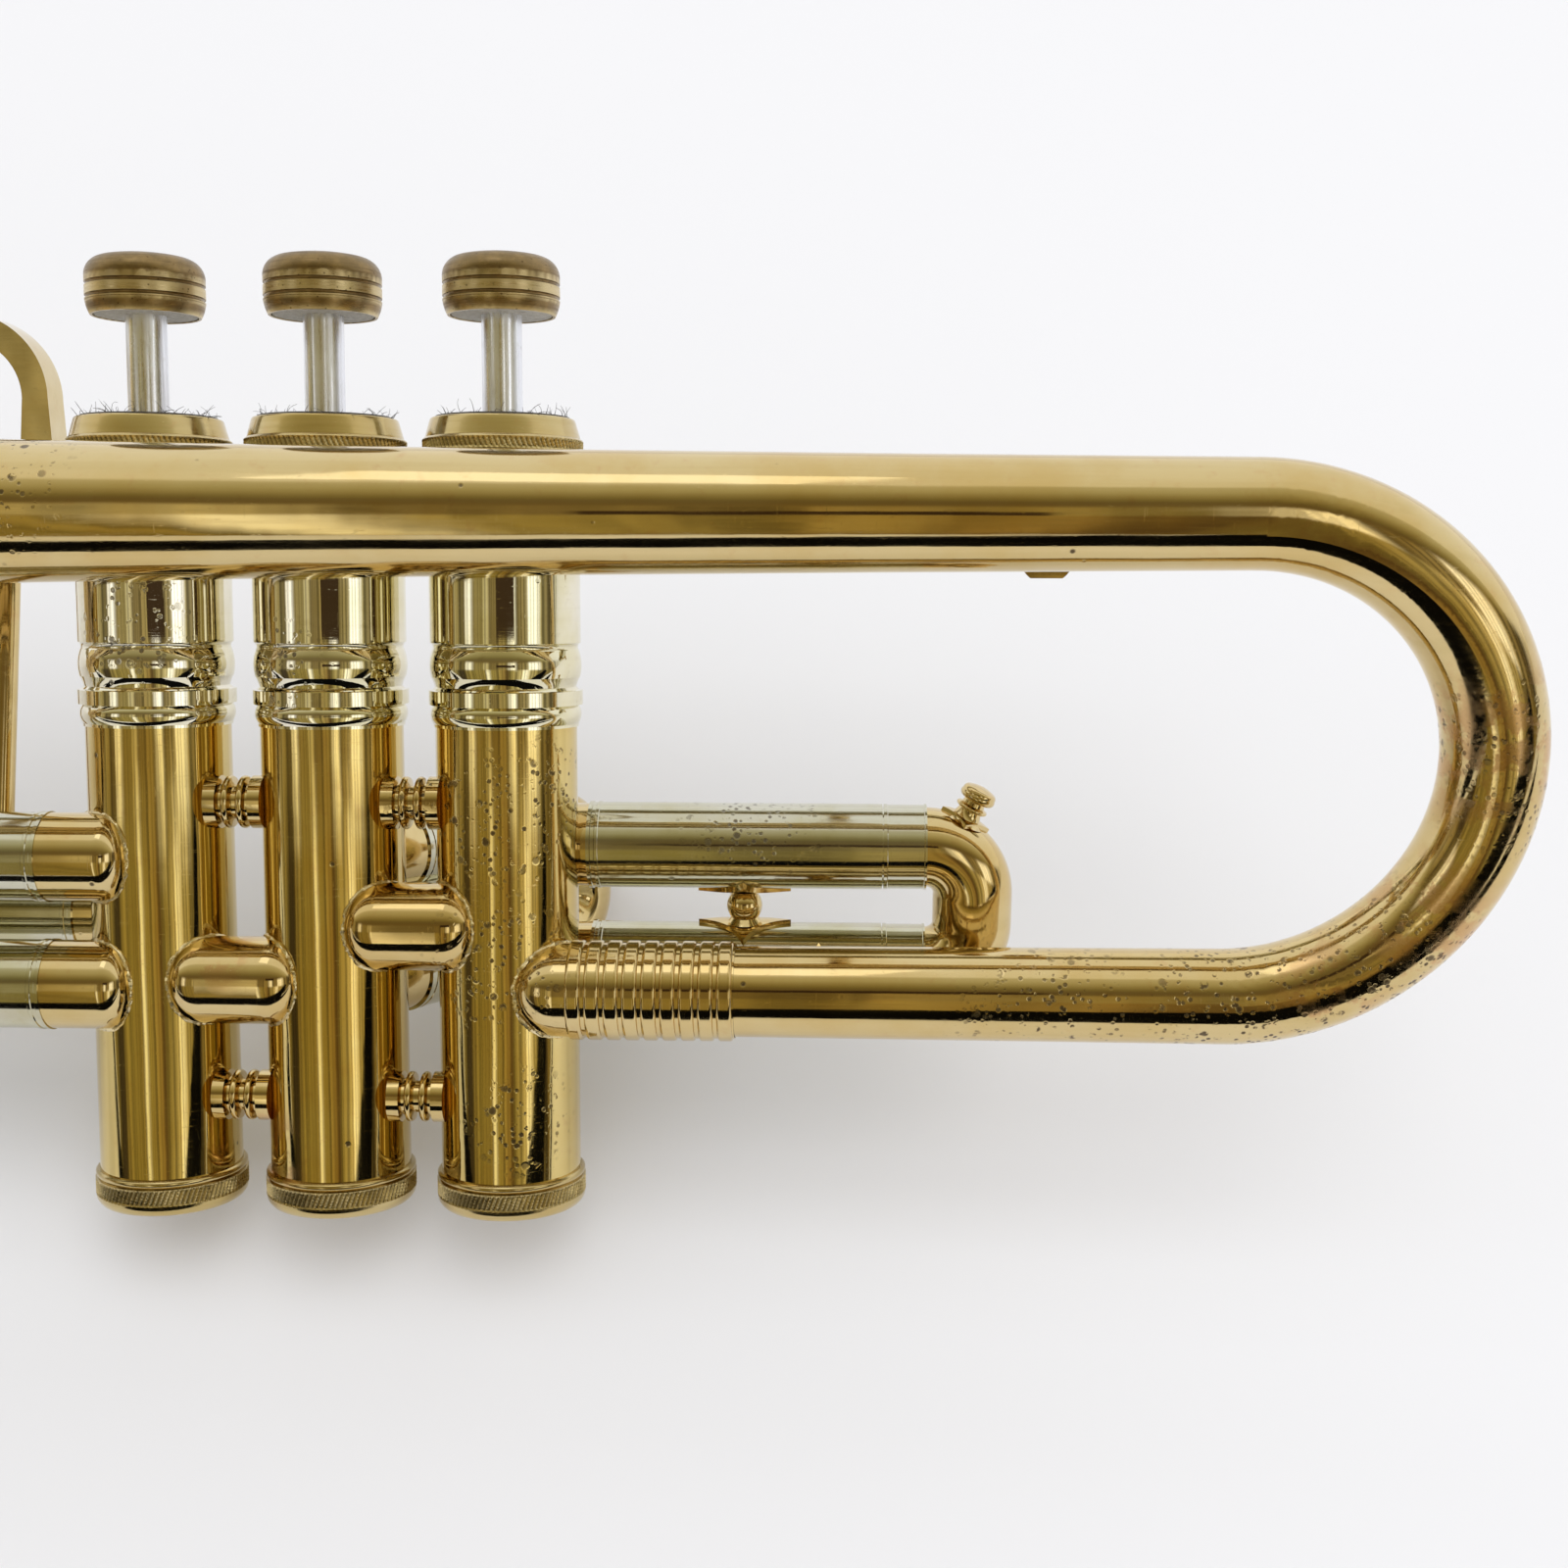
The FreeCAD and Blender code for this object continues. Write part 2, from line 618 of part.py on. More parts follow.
FIRST = Slide(V(33.0, -47.1, -7.0), V(33.0, -65.2, -9.5), BACK, 3.0, 45.6, 52.0, 6.0)
THIRD = Slide(V(-33.0, -47.5, 7.0), V(-33.0, -65.7, 7.0), FRONT, 5.3, 87.0, 95.0, 9.0)
SECOND = Slide(V(0, -48.5, 0) + second_slide_direction() * 10, V(0, -66.8, 0) + second_slide_direction() * 10,
               second_slide_direction(), 3.0, 31.0, 37.5, 8.0)
MAIN = Slide(V(-33.0, MOUTHPIPE_Y, MOUTHPIPE_Z), V(-33.0, MAIN_LOWER_Y, MAIN_LOWER_Z), FRONT,
             7.0, 102.0, 109.0, 50.0)
MAIN_BOW_STRAIGHT = 38.0
MAIN_UPPER_SLEEVE_START = 47.0
MAIN_SPAN = (MAIN.upper - MAIN.lower).Length


def pull_knob(root, direction):
    """A turned knob: flared foot, neck with a ring, and a rounded head."""
    outline = [
        (0, -0.6), (3.2, -0.6), (2.05, 0.35, 1.75, 1.3), (2.25, 1.45), (2.4, 1.7, 2.25, 1.95), (1.7, 2.15),
        (1.6, 2.7), (2.35, 2.95), (2.65, 3.4, 2.55, 3.9), (2.4, 4.45, 1.9, 4.75), dome(1.9, 4.75, 5.1),
    ]
    return turned(outline, root, direction)


def first_slide_knob():
    """It stands on the upper bend of the first slide's bow, leaning outwards."""
    lean = math.radians(27)
    down = unit(FIRST.lower - FIRST.upper)
    centre = FIRST.at(FIRST.upper, FIRST.bow_start) + down * SLIDE_BEND_R
    outward = BACK * math.sin(lean) - down * math.cos(lean)
    root = centre + outward * (SLIDE_BEND_R + TUBE_R)
    knob = pull_knob(root, outward)
    plate = Part.makeTorus(SLIDE_BEND_R, TUBE_R + 0.5, centre, down.cross(BACK))
    along = outward.cross(down.cross(BACK))
    across = unit(down.cross(BACK))
    corners = [root + along * 3.8, root + across * 3.2, root - along * 3.8, root - across * 3.2]
    corners = [corner - outward * 4 for corner in corners]
    patch = Part.Face(Part.makePolygon(corners + corners[:1])).extrude(outward * 8).common(plate)
    return fused(knob, patch).cut(swept_bow_solid(FIRST))


def swept_bow_solid(slide, bend=SLIDE_BEND_R):
    """The slide's bow as a full bar, used to seat pieces on its surface."""
    upper = slide.at(slide.upper, slide.bow_start)
    lower = slide.at(slide.lower, slide.bow_start)
    reach = slide.direction * bend
    return swept(bent_wire([upper, upper + reach, lower + reach, lower], bend), TUBE_R - 0.05)


def apex_knob(slide):
    """A knob on the middle of a slide's bow, pointing straight out."""
    apex = slide.at((slide.upper + slide.lower) * 0.5, slide.bow_start + SLIDE_BEND_R + TUBE_R - 0.05)
    return pull_knob(apex, slide.direction).cut(swept_bow_solid(slide))


def main_slide_sleeves():
    upper, lower = MAIN.sleeves()
    cut_from = MAIN.at(MAIN.upper, 0)
    upper = upper.cut(rod(cut_from, FRONT, SLEEVE_R + 2, MAIN_UPPER_SLEEVE_START))
    return group([upper, lower])


def main_slide_bow():
    """The large front bow with its straight legs, stay, water-key saddle and drain nipple."""
    upper = MAIN.at(MAIN.upper, MAIN.bow_start)
    lower = MAIN.at(MAIN.lower, MAIN.bow_start)
    top = upper + FRONT * MAIN_BOW_STRAIGHT
    bottom = lower + FRONT * MAIN_BOW_STRAIGHT
    apex = (top + bottom) * 0.5 + FRONT * (MAIN_SPAN / 2)
    wire = Part.Wire([Part.LineSegment(upper, top).toShape(), Part.Arc(top, apex, bottom).toShape(),
                      Part.LineSegment(bottom, lower).toShape()])
    outer_r = TUBE_R - 0.05
    body = swept(wire, outer_r)
    stay_x = FRONT * 14.0
    body = body.fuse(stay(upper + stay_x, outer_r, lower + stay_x, outer_r))
    out = water_key_outward()
    nipple = lower + FRONT * WATER_NIPPLE
    body = body.fuse(rod(nipple, out, 2.3, outer_r + 1.4))
    pivot = water_key_pivot()
    hinge_axis = unit(FRONT.cross(out))
    for side in (-1, 1):
        base = pivot + hinge_axis * (side * 2.9)
        ear = rod(base - hinge_axis * 0.6, hinge_axis, 1.7, 1.2)
        post_height = WATER_PIVOT_HEIGHT - 4.0
        post = block(base - out * (post_height / 2), FRONT, hinge_axis, out, (3.4, 1.2, post_height))
        body = body.fuse(ear.fuse(post))
    body = body.cut(rod(pivot - hinge_axis * 6, hinge_axis, 0.85, 12))
    body = body.cut(swept(wire, BORE_R)).cut(rod(nipple, out, 1.2, outer_r + 3))
    return body.removeSplitter()


# Water key on the underside of the lower leg of the main slide.
WATER_NIPPLE = 28.0
WATER_PIVOT = 15.0
WATER_PIVOT_HEIGHT = 9.0


def water_key_outward():
    return unit(MAIN.lower - MAIN.upper)


def water_key_pivot():
    lower = MAIN.at(MAIN.lower, MAIN.bow_start)
    return lower + FRONT * WATER_PIVOT + water_key_outward() * WATER_PIVOT_HEIGHT


def water_key_lever():
    """A rocking lever with its pin; one end holds the cork and the other is the thumb plate."""
    out = water_key_outward()
    pivot = water_key_pivot()
    hinge_axis = unit(FRONT.cross(out))
    pin = rod(pivot - hinge_axis * 4.0, hinge_axis, 0.8, 8.0)
    hub = rod(pivot - hinge_axis * 2.2, hinge_axis, 1.5, 4.4)
    seat = pivot + FRONT * (WATER_NIPPLE - WATER_PIVOT) + out * 0.9
    thumb = pivot + BACK * 15 + out * 3.2
    arm = between(pivot, seat, 0.9)
    handle = between(pivot, thumb, 0.9)
    cup = pipe(seat - out * 0.7, out, 2.5, 2.1, 1.6).fuse(rod(seat + out * 0.3, out, 2.5, 0.7))
    plate = rod(thumb - out * 0.5, out, 3.4, 1.1)
    return fused(pin, hub, arm, handle, cup, plate).cut(water_key_cork())


def water_key_cork():
    out = water_key_outward()
    nipple_top = MAIN.at(MAIN.lower, MAIN.bow_start) + FRONT * WATER_NIPPLE + out * (TUBE_R - 0.05 + 1.4)
    return rod(nipple_top + out * 0.02, out, 2.05, 2.8)


def slide_stays():
    """Ball stays between the legs of the first and third slides."""
    parts = []
    for slide, distance in ((FIRST, 25.5), (THIRD, 46.0)):
        upper = slide.at(slide.upper, distance)
        lower = slide.at(slide.lower, distance)
        parts.append(stay(upper, SLEEVE_R, lower, SLEEVE_R, 1.7, 2.62))
    return group(parts)


def bell_stays():
    """Stays from the mouthpipe to the bell and the main slide, and from the tail to the first slide."""
    parts = []
    for x in (-62.0, 72.0):
        bell_r = bell_radius(x)
        joined = stay(V(x, 0, BELL_Z), bell_r + 0.1, V(x, MOUTHPIPE_Y, MOUTHPIPE_Z), SLEEVE_R, 1.8)
        parts.append(joined.cut(bell_section(BELL_SPLIT_X, BOW_X, 12)))
    tail_x = 69.5
    lower = V(tail_x, FIRST.lower.y, FIRST.lower.z)
    parts.append(stay(V(tail_x, TAIL_Y, TAIL_Z), TAIL_R + 0.1, lower, SLEEVE_R, 1.7))
    main_x = -53.5
    parts.append(stay(V(main_x, MAIN_LOWER_Y, MAIN_LOWER_Z), SLEEVE_R,
                      V(main_x, MOUTHPIPE_Y, MOUTHPIPE_Z), SLEEVE_R, 1.8))
    return group(parts)


# ---------------------------------------------------------------- mouthpipe
CLAMP_X = 100.0
CLAMP_WIDTH = 8.0
RECEIVER_X = 116.0
RECEIVER_END_X = 142.0
SOCKET_R = 5.0
SOCKET_DEPTH = 22.0


def mouthpipe_sleeve():
    """The fixed outer tube that the mouthpipe slides in, split at its back end for the clamp."""
    front_x = MAIN.upper.x - MAIN_UPPER_SLEEVE_START
    tube = pipe(V(front_x, MOUTHPIPE_Y, MOUTHPIPE_Z), BACK, SLEEVE_R, MOUTHPIPE_R + RUNNING_GAP,
                CLAMP_X + CLAMP_WIDTH + 1.0 - front_x)
    slit = Part.makeBox(16, 1.0, SLEEVE_R + 2, V(CLAMP_X - 6, MOUTHPIPE_Y - 0.5, MOUTHPIPE_Z - SLEEVE_R - 2))
    return tube.cut(slit)


def mouthpipe_clamp():
    """A split ring with two lugs on the player's right."""
    centre = V(CLAMP_X, MOUTHPIPE_Y, MOUTHPIPE_Z)
    ring = rod(centre, BACK, SLEEVE_R + 1.6, CLAMP_WIDTH)
    lugs = Part.makeBox(CLAMP_WIDTH - 1.5, 7.4, 6.0, centre + V(0.75, -3.7, -SLEEVE_R - 6.0))
    body = ring.fuse(lugs).cut(rod(centre, BACK, SLEEVE_R, CLAMP_WIDTH))
    gap = Part.makeBox(CLAMP_WIDTH + 2, 1.6, SLEEVE_R + 8, centre + V(-1, -0.8, -SLEEVE_R - 8))
    return body.cut(gap).cut(clamp_screw_rod(1.55)).removeSplitter()


def clamp_screw_base():
    return V(CLAMP_X + CLAMP_WIDTH / 2, MOUTHPIPE_Y, MOUTHPIPE_Z - SLEEVE_R - 3.4)


def clamp_screw_rod(radius):
    return rod(clamp_screw_base() + UP * 4.4, DOWN, radius, 12.0)


def clamp_screw():
    """The thumb screw that tightens the clamp."""
    base = clamp_screw_base() + DOWN * 4.2
    head = turned([(0, -0.45), (2.6, -0.45), (2.6, 0.6), (1.8, 1.4), (0, 1.4)], base, DOWN)
    wing = Part.makeBox(7.4, 4.0, 1.2, base + V(-3.7, -5.3, -0.6))
    wing = wing.common(rod(base + V(0, -1.9, -2), LEFT, 4.2, 4))
    return fused(clamp_screw_rod(1.5), head, wing)


def mouthpipe():
    start = V(-58.0, MOUTHPIPE_Y, MOUTHPIPE_Z)
    return pipe(start, BACK, MOUTHPIPE_R, 4.3, RECEIVER_X + 4.0 - start.x)


def mouthpiece_receiver():
    """The socket for the mouthpiece, with a bead at its mouth."""
    length = RECEIVER_END_X - RECEIVER_X
    socket = length - SOCKET_DEPTH
    outline = [
        (MOUTHPIPE_R, 0), (MOUTHPIPE_R + 0.9, 0), (MOUTHPIPE_R + 1.5, 1.0), (6.9, 2.2), (7.1, length - 4.0),
        (7.6, length - 3.6), (7.6, length - 0.5), (7.2, length), (SOCKET_R, length),
        (SOCKET_R, socket), (MOUTHPIPE_R, socket),
    ]
    return turned(outline, V(RECEIVER_X, MOUTHPIPE_Y, MOUTHPIPE_Z), BACK)


def finger_hook():
    """A cast hook for the little finger. Its leg widens down to the mouthpipe sleeve it stands on."""
    inner_r = 8.7
    thickness = 3.9
    width = 5.6
    outer_r = inner_r + thickness
    centre = V(-58.5, 18.2, MOUTHPIPE_Z)
    foot_y = MOUTHPIPE_Y + 3.0
    flare = 0.9
    back = LEFT * (width / 2)

    def at(radius, degrees):
        angle = math.radians(degrees)
        return centre + back + V(math.cos(angle), math.sin(angle), 0) * radius

    inner_foot = centre + back + V(inner_r - flare, foot_y - centre.y, 0)
    outer_foot = centre + back + V(outer_r + flare, foot_y - centre.y, 0)
    tip = 205
    edges = [
        Part.Arc(at(inner_r, 0), at(inner_r, tip / 2), at(inner_r, tip)).toShape(),
        Part.Arc(at(inner_r, tip), at(inner_r + thickness / 2, tip) + at(thickness / 2, tip + 90)
                 - at(0, 0), at(outer_r, tip)).toShape(),
        Part.Arc(at(outer_r, tip), at(outer_r, tip / 2), at(outer_r, 0)).toShape(),
        Part.LineSegment(at(outer_r, 0), outer_foot).toShape(),
        Part.LineSegment(outer_foot, inner_foot).toShape(),
        Part.LineSegment(inner_foot, at(inner_r, 0)).toShape(),
    ]
    band = Part.Face(Part.Wire(Part.sortEdges(edges)[0])).extrude(RIGHT * width)
    pad_x = (inner_foot.x + outer_foot.x) / 2
    pad = saddle_pad(V(pad_x, MOUTHPIPE_Y, MOUTHPIPE_Z), BACK, UP, SLEEVE_R, 9.0, 4.6)
    body = fused(band, pad)
    return body.cut(rod(V(-90, MOUTHPIPE_Y, MOUTHPIPE_Z), BACK, SLEEVE_R, 60)).removeSplitter()


# ---------------------------------------------------------------- assembly
def build_nodes():
    nodes = {
        "bell_flare": bell_flare(),
        "bell_throat": bell_section(BELL_SPLIT_X, BOW_X, 12),
        "bell_bow": bell_bow(),
        "bell_tail": bell_tail(),
        "ribbed_ferrule": ribbed_ferrule(),
        "port_knuckles": port_knuckles(),
        "crossover_3_to_2": crossover("out_3", "in_2"),
        "crossover_2_to_1": crossover("out_2", "in_1"),
        "valve_braces": valve_braces(),
        "valve_guides": valve_guides(),
        "valve_springs": valve_springs(),
        "top_cap_felts": top_cap_felts(),
        "first_slide_sleeves": group(FIRST.sleeves()),
        "first_slide_tubes": group(FIRST.tubes()),
        "first_slide_bow": FIRST.bow(),
        "first_slide_knob": first_slide_knob(),
        "second_slide_sleeves": group(SECOND.sleeves()),
        "second_slide_tubes": group(SECOND.tubes()),
        "second_slide_bow": fused(SECOND.bow(), apex_knob(SECOND)),
        "third_slide_sleeves": group(THIRD.sleeves()),
        "third_slide_tubes": group(THIRD.tubes()),
        "third_slide_bow": THIRD.bow(),
        "third_slide_knob": apex_knob(THIRD),
        "main_slide_sleeves": main_slide_sleeves(),
        "main_slide_tubes": group(MAIN.tubes()),
        "main_slide_bow": main_slide_bow(),
        "water_key_lever": water_key_lever(),
        "water_key_cork": water_key_cork(),
        "slide_stays": slide_stays(),
        "bell_stays": bell_stays(),
        "mouthpipe_sleeve": mouthpipe_sleeve(),
        "mouthpipe_clamp": mouthpipe_clamp(),
        "clamp_screw": clamp_screw(),
        "mouthpipe": mouthpipe(),
        "mouthpiece_receiver": mouthpiece_receiver(),
        "finger_hook": finger_hook(),
    }
    for valve in (1, 2, 3):
        nodes[f"valve_casing_{valve}"] = casing(valve)
        nodes[f"valve_baluster_{valve}"] = baluster(valve)
        nodes[f"top_cap_{valve}"] = top_cap(valve)
        nodes[f"bottom_cap_{valve}"] = bottom_cap(valve)
        nodes[f"piston_{valve}"] = piston(valve)
        nodes[f"valve_stem_{valve}"] = valve_stem(valve)
        nodes[f"finger_button_{valve}"] = finger_button(valve)
        nodes[f"button_felt_{valve}"] = button_felt(valve)
    return nodes


def lying(roll, pitch):
    """The turn from the player's frame to the ground: roll about X, then the bell end dips."""
    return FreeCAD.Rotation(V(0, 1, 0), -pitch).multiply(FreeCAD.Rotation(V(1, 0, 0), roll))


def lowest(shape, rotation):
    turned_shape = shape.copy()
    turned_shape.Placement = FreeCAD.Placement(V(0, 0, 0), rotation).multiply(shape.Placement)
    return turned_shape.optimalBoundingBox(False, False).ZMin


def rest_rotation():
    """Find the roll and pitch at which bell rim, front valve cap and second slide's knob all touch."""
    rim = rim_bead()
    cap = bottom_cap(3)
    knob = apex_knob(SECOND)
    roll, pitch = 48.0, 3.0
    step = 0.05
    for _ in range(6):
        def gaps(roll_now, pitch_now):
            rotation = lying(roll_now, pitch_now)
            ground = lowest(cap, rotation)
            return lowest(rim, rotation) - ground, lowest(knob, rotation) - ground
        rim_gap, knob_gap = gaps(roll, pitch)
        rim_roll, knob_roll = gaps(roll + step, pitch)
        rim_pitch, knob_pitch = gaps(roll, pitch + step)
        a, b = (rim_roll - rim_gap) / step, (rim_pitch - rim_gap) / step
        c, d = (knob_roll - knob_gap) / step, (knob_pitch - knob_gap) / step
        determinant = a * d - b * c
        roll -= (rim_gap * d - knob_gap * b) / determinant
        pitch -= (a * knob_gap - c * rim_gap) / determinant
    return roll, pitch


def main():
    os.makedirs("parts", exist_ok=True)
    nodes = build_nodes()
    roll, pitch = rest_rotation()
    rotation = lying(roll, pitch)
    placed = {}
    for name, shape in nodes.items():
        laid = shape.copy()
        laid.Placement = FreeCAD.Placement(V(0, 0, 0), rotation).multiply(shape.Placement)
        placed[name] = laid
    points, _ = Part.makeCompound(list(placed.values())).tessellate(0.1)
    low = V(min(p.x for p in points), min(p.y for p in points), min(p.z for p in points))
    high = V(max(p.x for p in points), max(p.y for p in points), max(p.z for p in points))
    shift = V(-(low.x + high.x) / 2, -(low.y + high.y) / 2, -low.z)
    print(f"roll {roll:.3f} pitch {pitch:.3f} shift {shift.x:.3f} {shift.y:.3f} {shift.z:.3f}")
    print(f"size {high.x - low.x:.1f} {high.y - low.y:.1f} {high.z - low.z:.1f}")
    for name, shape in placed.items():
        shape.translate(shift)
        if not shape.isValid():
            print("not valid:", name)
        shape.exportStep(f"parts/{name}.step")


main()
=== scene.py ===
"""The look of the flugelhorn: camera, studio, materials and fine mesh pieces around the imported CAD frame.

Shapes are worked out in the horn's own axes, in millimetres: X back towards the player, Y up along the
valves, Z to the player's left, with the origin on the second valve's axis at the height of the bell's axis.
"""

import json
import math
import random

import bmesh
import bpy
from mathutils import Matrix, Vector, noise


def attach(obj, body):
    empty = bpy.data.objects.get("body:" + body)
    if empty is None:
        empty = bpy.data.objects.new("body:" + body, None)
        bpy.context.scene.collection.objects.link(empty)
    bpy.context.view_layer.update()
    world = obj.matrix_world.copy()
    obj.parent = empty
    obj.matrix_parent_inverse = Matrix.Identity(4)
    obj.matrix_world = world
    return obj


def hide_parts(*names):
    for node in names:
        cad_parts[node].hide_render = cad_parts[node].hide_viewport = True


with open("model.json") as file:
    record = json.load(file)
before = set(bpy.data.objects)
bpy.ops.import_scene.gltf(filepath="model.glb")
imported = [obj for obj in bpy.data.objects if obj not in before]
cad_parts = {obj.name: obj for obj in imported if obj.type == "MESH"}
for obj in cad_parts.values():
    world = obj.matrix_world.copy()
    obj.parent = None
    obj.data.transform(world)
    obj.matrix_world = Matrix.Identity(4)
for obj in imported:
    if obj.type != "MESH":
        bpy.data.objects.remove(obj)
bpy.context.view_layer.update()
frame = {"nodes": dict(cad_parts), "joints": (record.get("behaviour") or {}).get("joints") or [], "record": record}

MM = 0.001
NODES = frame["nodes"]
AXES = {joint["name"]: Vector(joint["axis"]) for joint in frame["joints"]}
BACK = AXES["first_slide_pull"].normalized()
UP = -AXES["valve_1_press"].normalized()
LEFT = BACK.cross(UP).normalized()
TO_HORN = Matrix((BACK, UP, LEFT))
FULL_TURN = 2 * math.pi


# ---------------------------------------------------------------- places, from the frame
def raw_span(node):
    """Lowest and highest corner of a CAD node along the horn's axes, in metres from the row's origin."""
    points = [TO_HORN @ vertex.co for vertex in NODES[node].data.vertices]
    low = Vector(min(p[axis] for p in points) for axis in range(3))
    high = Vector(max(p[axis] for p in points) for axis in range(3))
    return low, high


def horn_origin():
    valve_low, valve_high = raw_span("valve_casing_2")
    bell_low, bell_high = raw_span("bell_throat")
    middle = (valve_low + valve_high) / 2
    middle.y = (bell_low.y + bell_high.y) / 2
    return middle


ORIGIN = horn_origin()
HORN_TO_ROW = TO_HORN.transposed().to_4x4() @ Matrix.Translation(ORIGIN) @ Matrix.Scale(MM, 4)


def span(node):
    """A CAD node's lowest and highest corner in the horn's axes, in millimetres from the horn's origin."""
    low, high = raw_span(node)
    return (low - ORIGIN) / MM, (high - ORIGIN) / MM


# ---------------------------------------------------------------- camera and studio
CAMERA_PLACE = Vector((73.1, -9.7, 263.3))
CAMERA_TARGET = Vector((64.5, -37.3, 0))
CAMERA_UP = Vector((-0.0033, 1, 0))
CAMERA_LENS = 42.83


def looking(place, target, up):
    """A placement in the row frame, given in horn millimetres, whose Z axis points from target to place."""
    z = (place - target).normalized()
    x = up.cross(z).normalized()
    turn = Matrix((x, z.cross(x), z)).transposed()
    rotation = (TO_HORN.transposed() @ turn).to_4x4()
    return Matrix.Translation(HORN_TO_ROW @ place) @ rotation


def add_camera():
    data = bpy.data.cameras.new("camera")
    camera = bpy.data.objects.new("camera", data)
    bpy.context.scene.collection.objects.link(camera)
    data.sensor_width = 36
    data.lens = CAMERA_LENS
    data.clip_start = 0.01
    camera.matrix_world = looking(CAMERA_PLACE, CAMERA_TARGET, CAMERA_UP)
    bpy.context.scene.camera = camera


def plane_mesh(name, width, height):
    mesh = bpy.data.meshes.new(name)
    x, y = width / 2, height / 2
    mesh.from_pydata([(-x, -y, 0), (x, -y, 0), (x, y, 0), (-x, y, 0)], [], [(0, 1, 2, 3)])
    return mesh


def glowing(name, colour, strength):
    sheet = bpy.data.materials.new(name)
    sheet.use_nodes = True
    tree = sheet.node_tree
    tree.nodes.clear()
    glow = tree.nodes.new("ShaderNodeEmission")
    glow.inputs["Color"].default_value = (*colour, 1)
    glow.inputs["Strength"].default_value = strength
    out = tree.nodes.new("ShaderNodeOutputMaterial")
    tree.links.new(glow.outputs[0], out.inputs["Surface"])
    return sheet


def facing_valves(centre):
    """A placement at centre, in horn millimetres, for a card that faces the valves."""
    place = looking(CARDS_FACE, Vector(centre), Vector((0, 1, 0)))
    place.translation = HORN_TO_ROW @ Vector(centre)
    return place


def card(name, place, size, colour, strength=1.0):
    """A flat studio card that shows only in reflections. Its size is in metres."""
    mesh = plane_mesh(name, *size)
    mesh.materials.append(glowing(name, colour, strength))
    obj = bpy.data.objects.new(name, mesh)
    bpy.context.scene.collection.objects.link(obj)
    obj.matrix_world = place
    obj.visible_camera = False
    obj.visible_shadow = False
    obj.visible_diffuse = False


CARDS_FACE = Vector((25, -30, 0))
FLOOR_SIZE = 12
TABLE_EDGE_Y = -0.208     # the pale floor's front edge, as reflections see it
TABLE_DEPTH = 0.41
TABLE_LIFT = 0.001        # keeps the dark table clear of the floor
# Light arriving at the horn, by its angle round the bell's line: 0 is level in front, 90 overhead and 180
# level behind. Each stop is (degrees, red, green, blue).
WALLS = [
    (0, 0.14, 0.10, 0.04), (6, 0.16, 0.12, 0.05), (17, 0.21, 0.16, 0.06), (24, 0.36, 0.28, 0.10),
    (36, 0.36, 0.29, 0.11), (46, 0.25, 0.21, 0.09), (53, 0.18, 0.13, 0.05), (62, 0.18, 0.14, 0.06),
    (67, 0.24, 0.20, 0.08), (74, 0.36, 0.31, 0.15), (82, 0.50, 0.46, 0.27), (92, 0.62, 0.59, 0.42),
    (96, 0.90, 0.88, 0.78), (118, 0.94, 0.94, 0.90), (150, 0.98, 1.00, 1.02), (180, 1.04, 1.06, 1.10),
]
# The same by the angle round a valve, as the casings see it: 0 is towards the viewer, -90 the bell's end.
UPRIGHTS = [
    (-180, 0.10, 0.08, 0.04), (-108, 0.02, 0.02, 0.01), (-98, 0.01, 0.01, 0.01), (-84, 0.06, 0.05, 0.03),
    (-79, 0.52, 0.48, 0.32), (-72, 0.40, 0.33, 0.14), (-64, 0.05, 0.04, 0.02), (-57, 0.04, 0.03, 0.02),
    (-52, 0.22, 0.17, 0.06), (-40, 0.34, 0.27, 0.08), (-21, 0.30, 0.23, 0.07), (-18, 0.96, 0.92, 0.74),
    (-14, 0.92, 0.88, 0.70), (-11, 0.34, 0.27, 0.08), (-3, 0.36, 0.28, 0.09), (9, 0.24, 0.16, 0.05),
    (13, 0.13, 0.08, 0.03), (17, 0.30, 0.24, 0.08), (28, 0.50, 0.42, 0.19), (35, 0.62, 0.54, 0.30),
    (38, 1.40, 1.36, 1.20), (43, 1.36, 1.32, 1.16), (47, 0.52, 0.45, 0.24), (57, 0.44, 0.36, 0.15),
    (64, 0.12, 0.10, 0.05), (72, 0.08, 0.06, 0.03), (79, 0.36, 0.28, 0.10), (86, 0.06, 0.05, 0.03),
    (94, 0.80, 0.76, 0.62), (116, 0.62, 0.58, 0.45), (134, 0.40, 0.36, 0.24), (180, 0.10, 0.08, 0.04),
]
# The same again, as the balusters see it, a little higher up.
HIGH_UPRIGHTS = [
    (-180, 0.30, 0.28, 0.22), (-128, 0.90, 0.88, 0.84), (-112, 0.50, 0.46, 0.34), (-101, 0.01, 0.01, 0.01),
    (-88, 0.01, 0.01, 0.01), (-80, 0.50, 0.44, 0.28), (-66, 0.36, 0.29, 0.12), (-61, 0.05, 0.04, 0.02),
    (-54, 0.30, 0.24, 0.10), (-50, 1.10, 1.08, 1.00), (-42, 1.05, 1.03, 0.96), (-38, 0.34, 0.27, 0.11),
    (-25, 0.30, 0.24, 0.09), (-20, 0.62, 0.55, 0.32), (-12, 0.20, 0.15, 0.06), (0, 0.28, 0.21, 0.08),
    (12, 0.30, 0.24, 0.09), (16, 1.25, 1.22, 1.10), (25, 1.20, 1.17, 1.05), (28, 0.18, 0.14, 0.06),
    (38, 0.30, 0.24, 0.11), (43, 0.42, 0.36, 0.20), (46, 1.50, 1.50, 1.48), (61, 1.50, 1.50, 1.48),
    (65, 0.34, 0.29, 0.15), (78, 0.20, 0.16, 0.08), (86, 0.06, 0.05, 0.03), (95, 0.62, 0.60, 0.52),
    (130, 0.90, 0.90, 0.88), (180, 0.30, 0.28, 0.22),
]
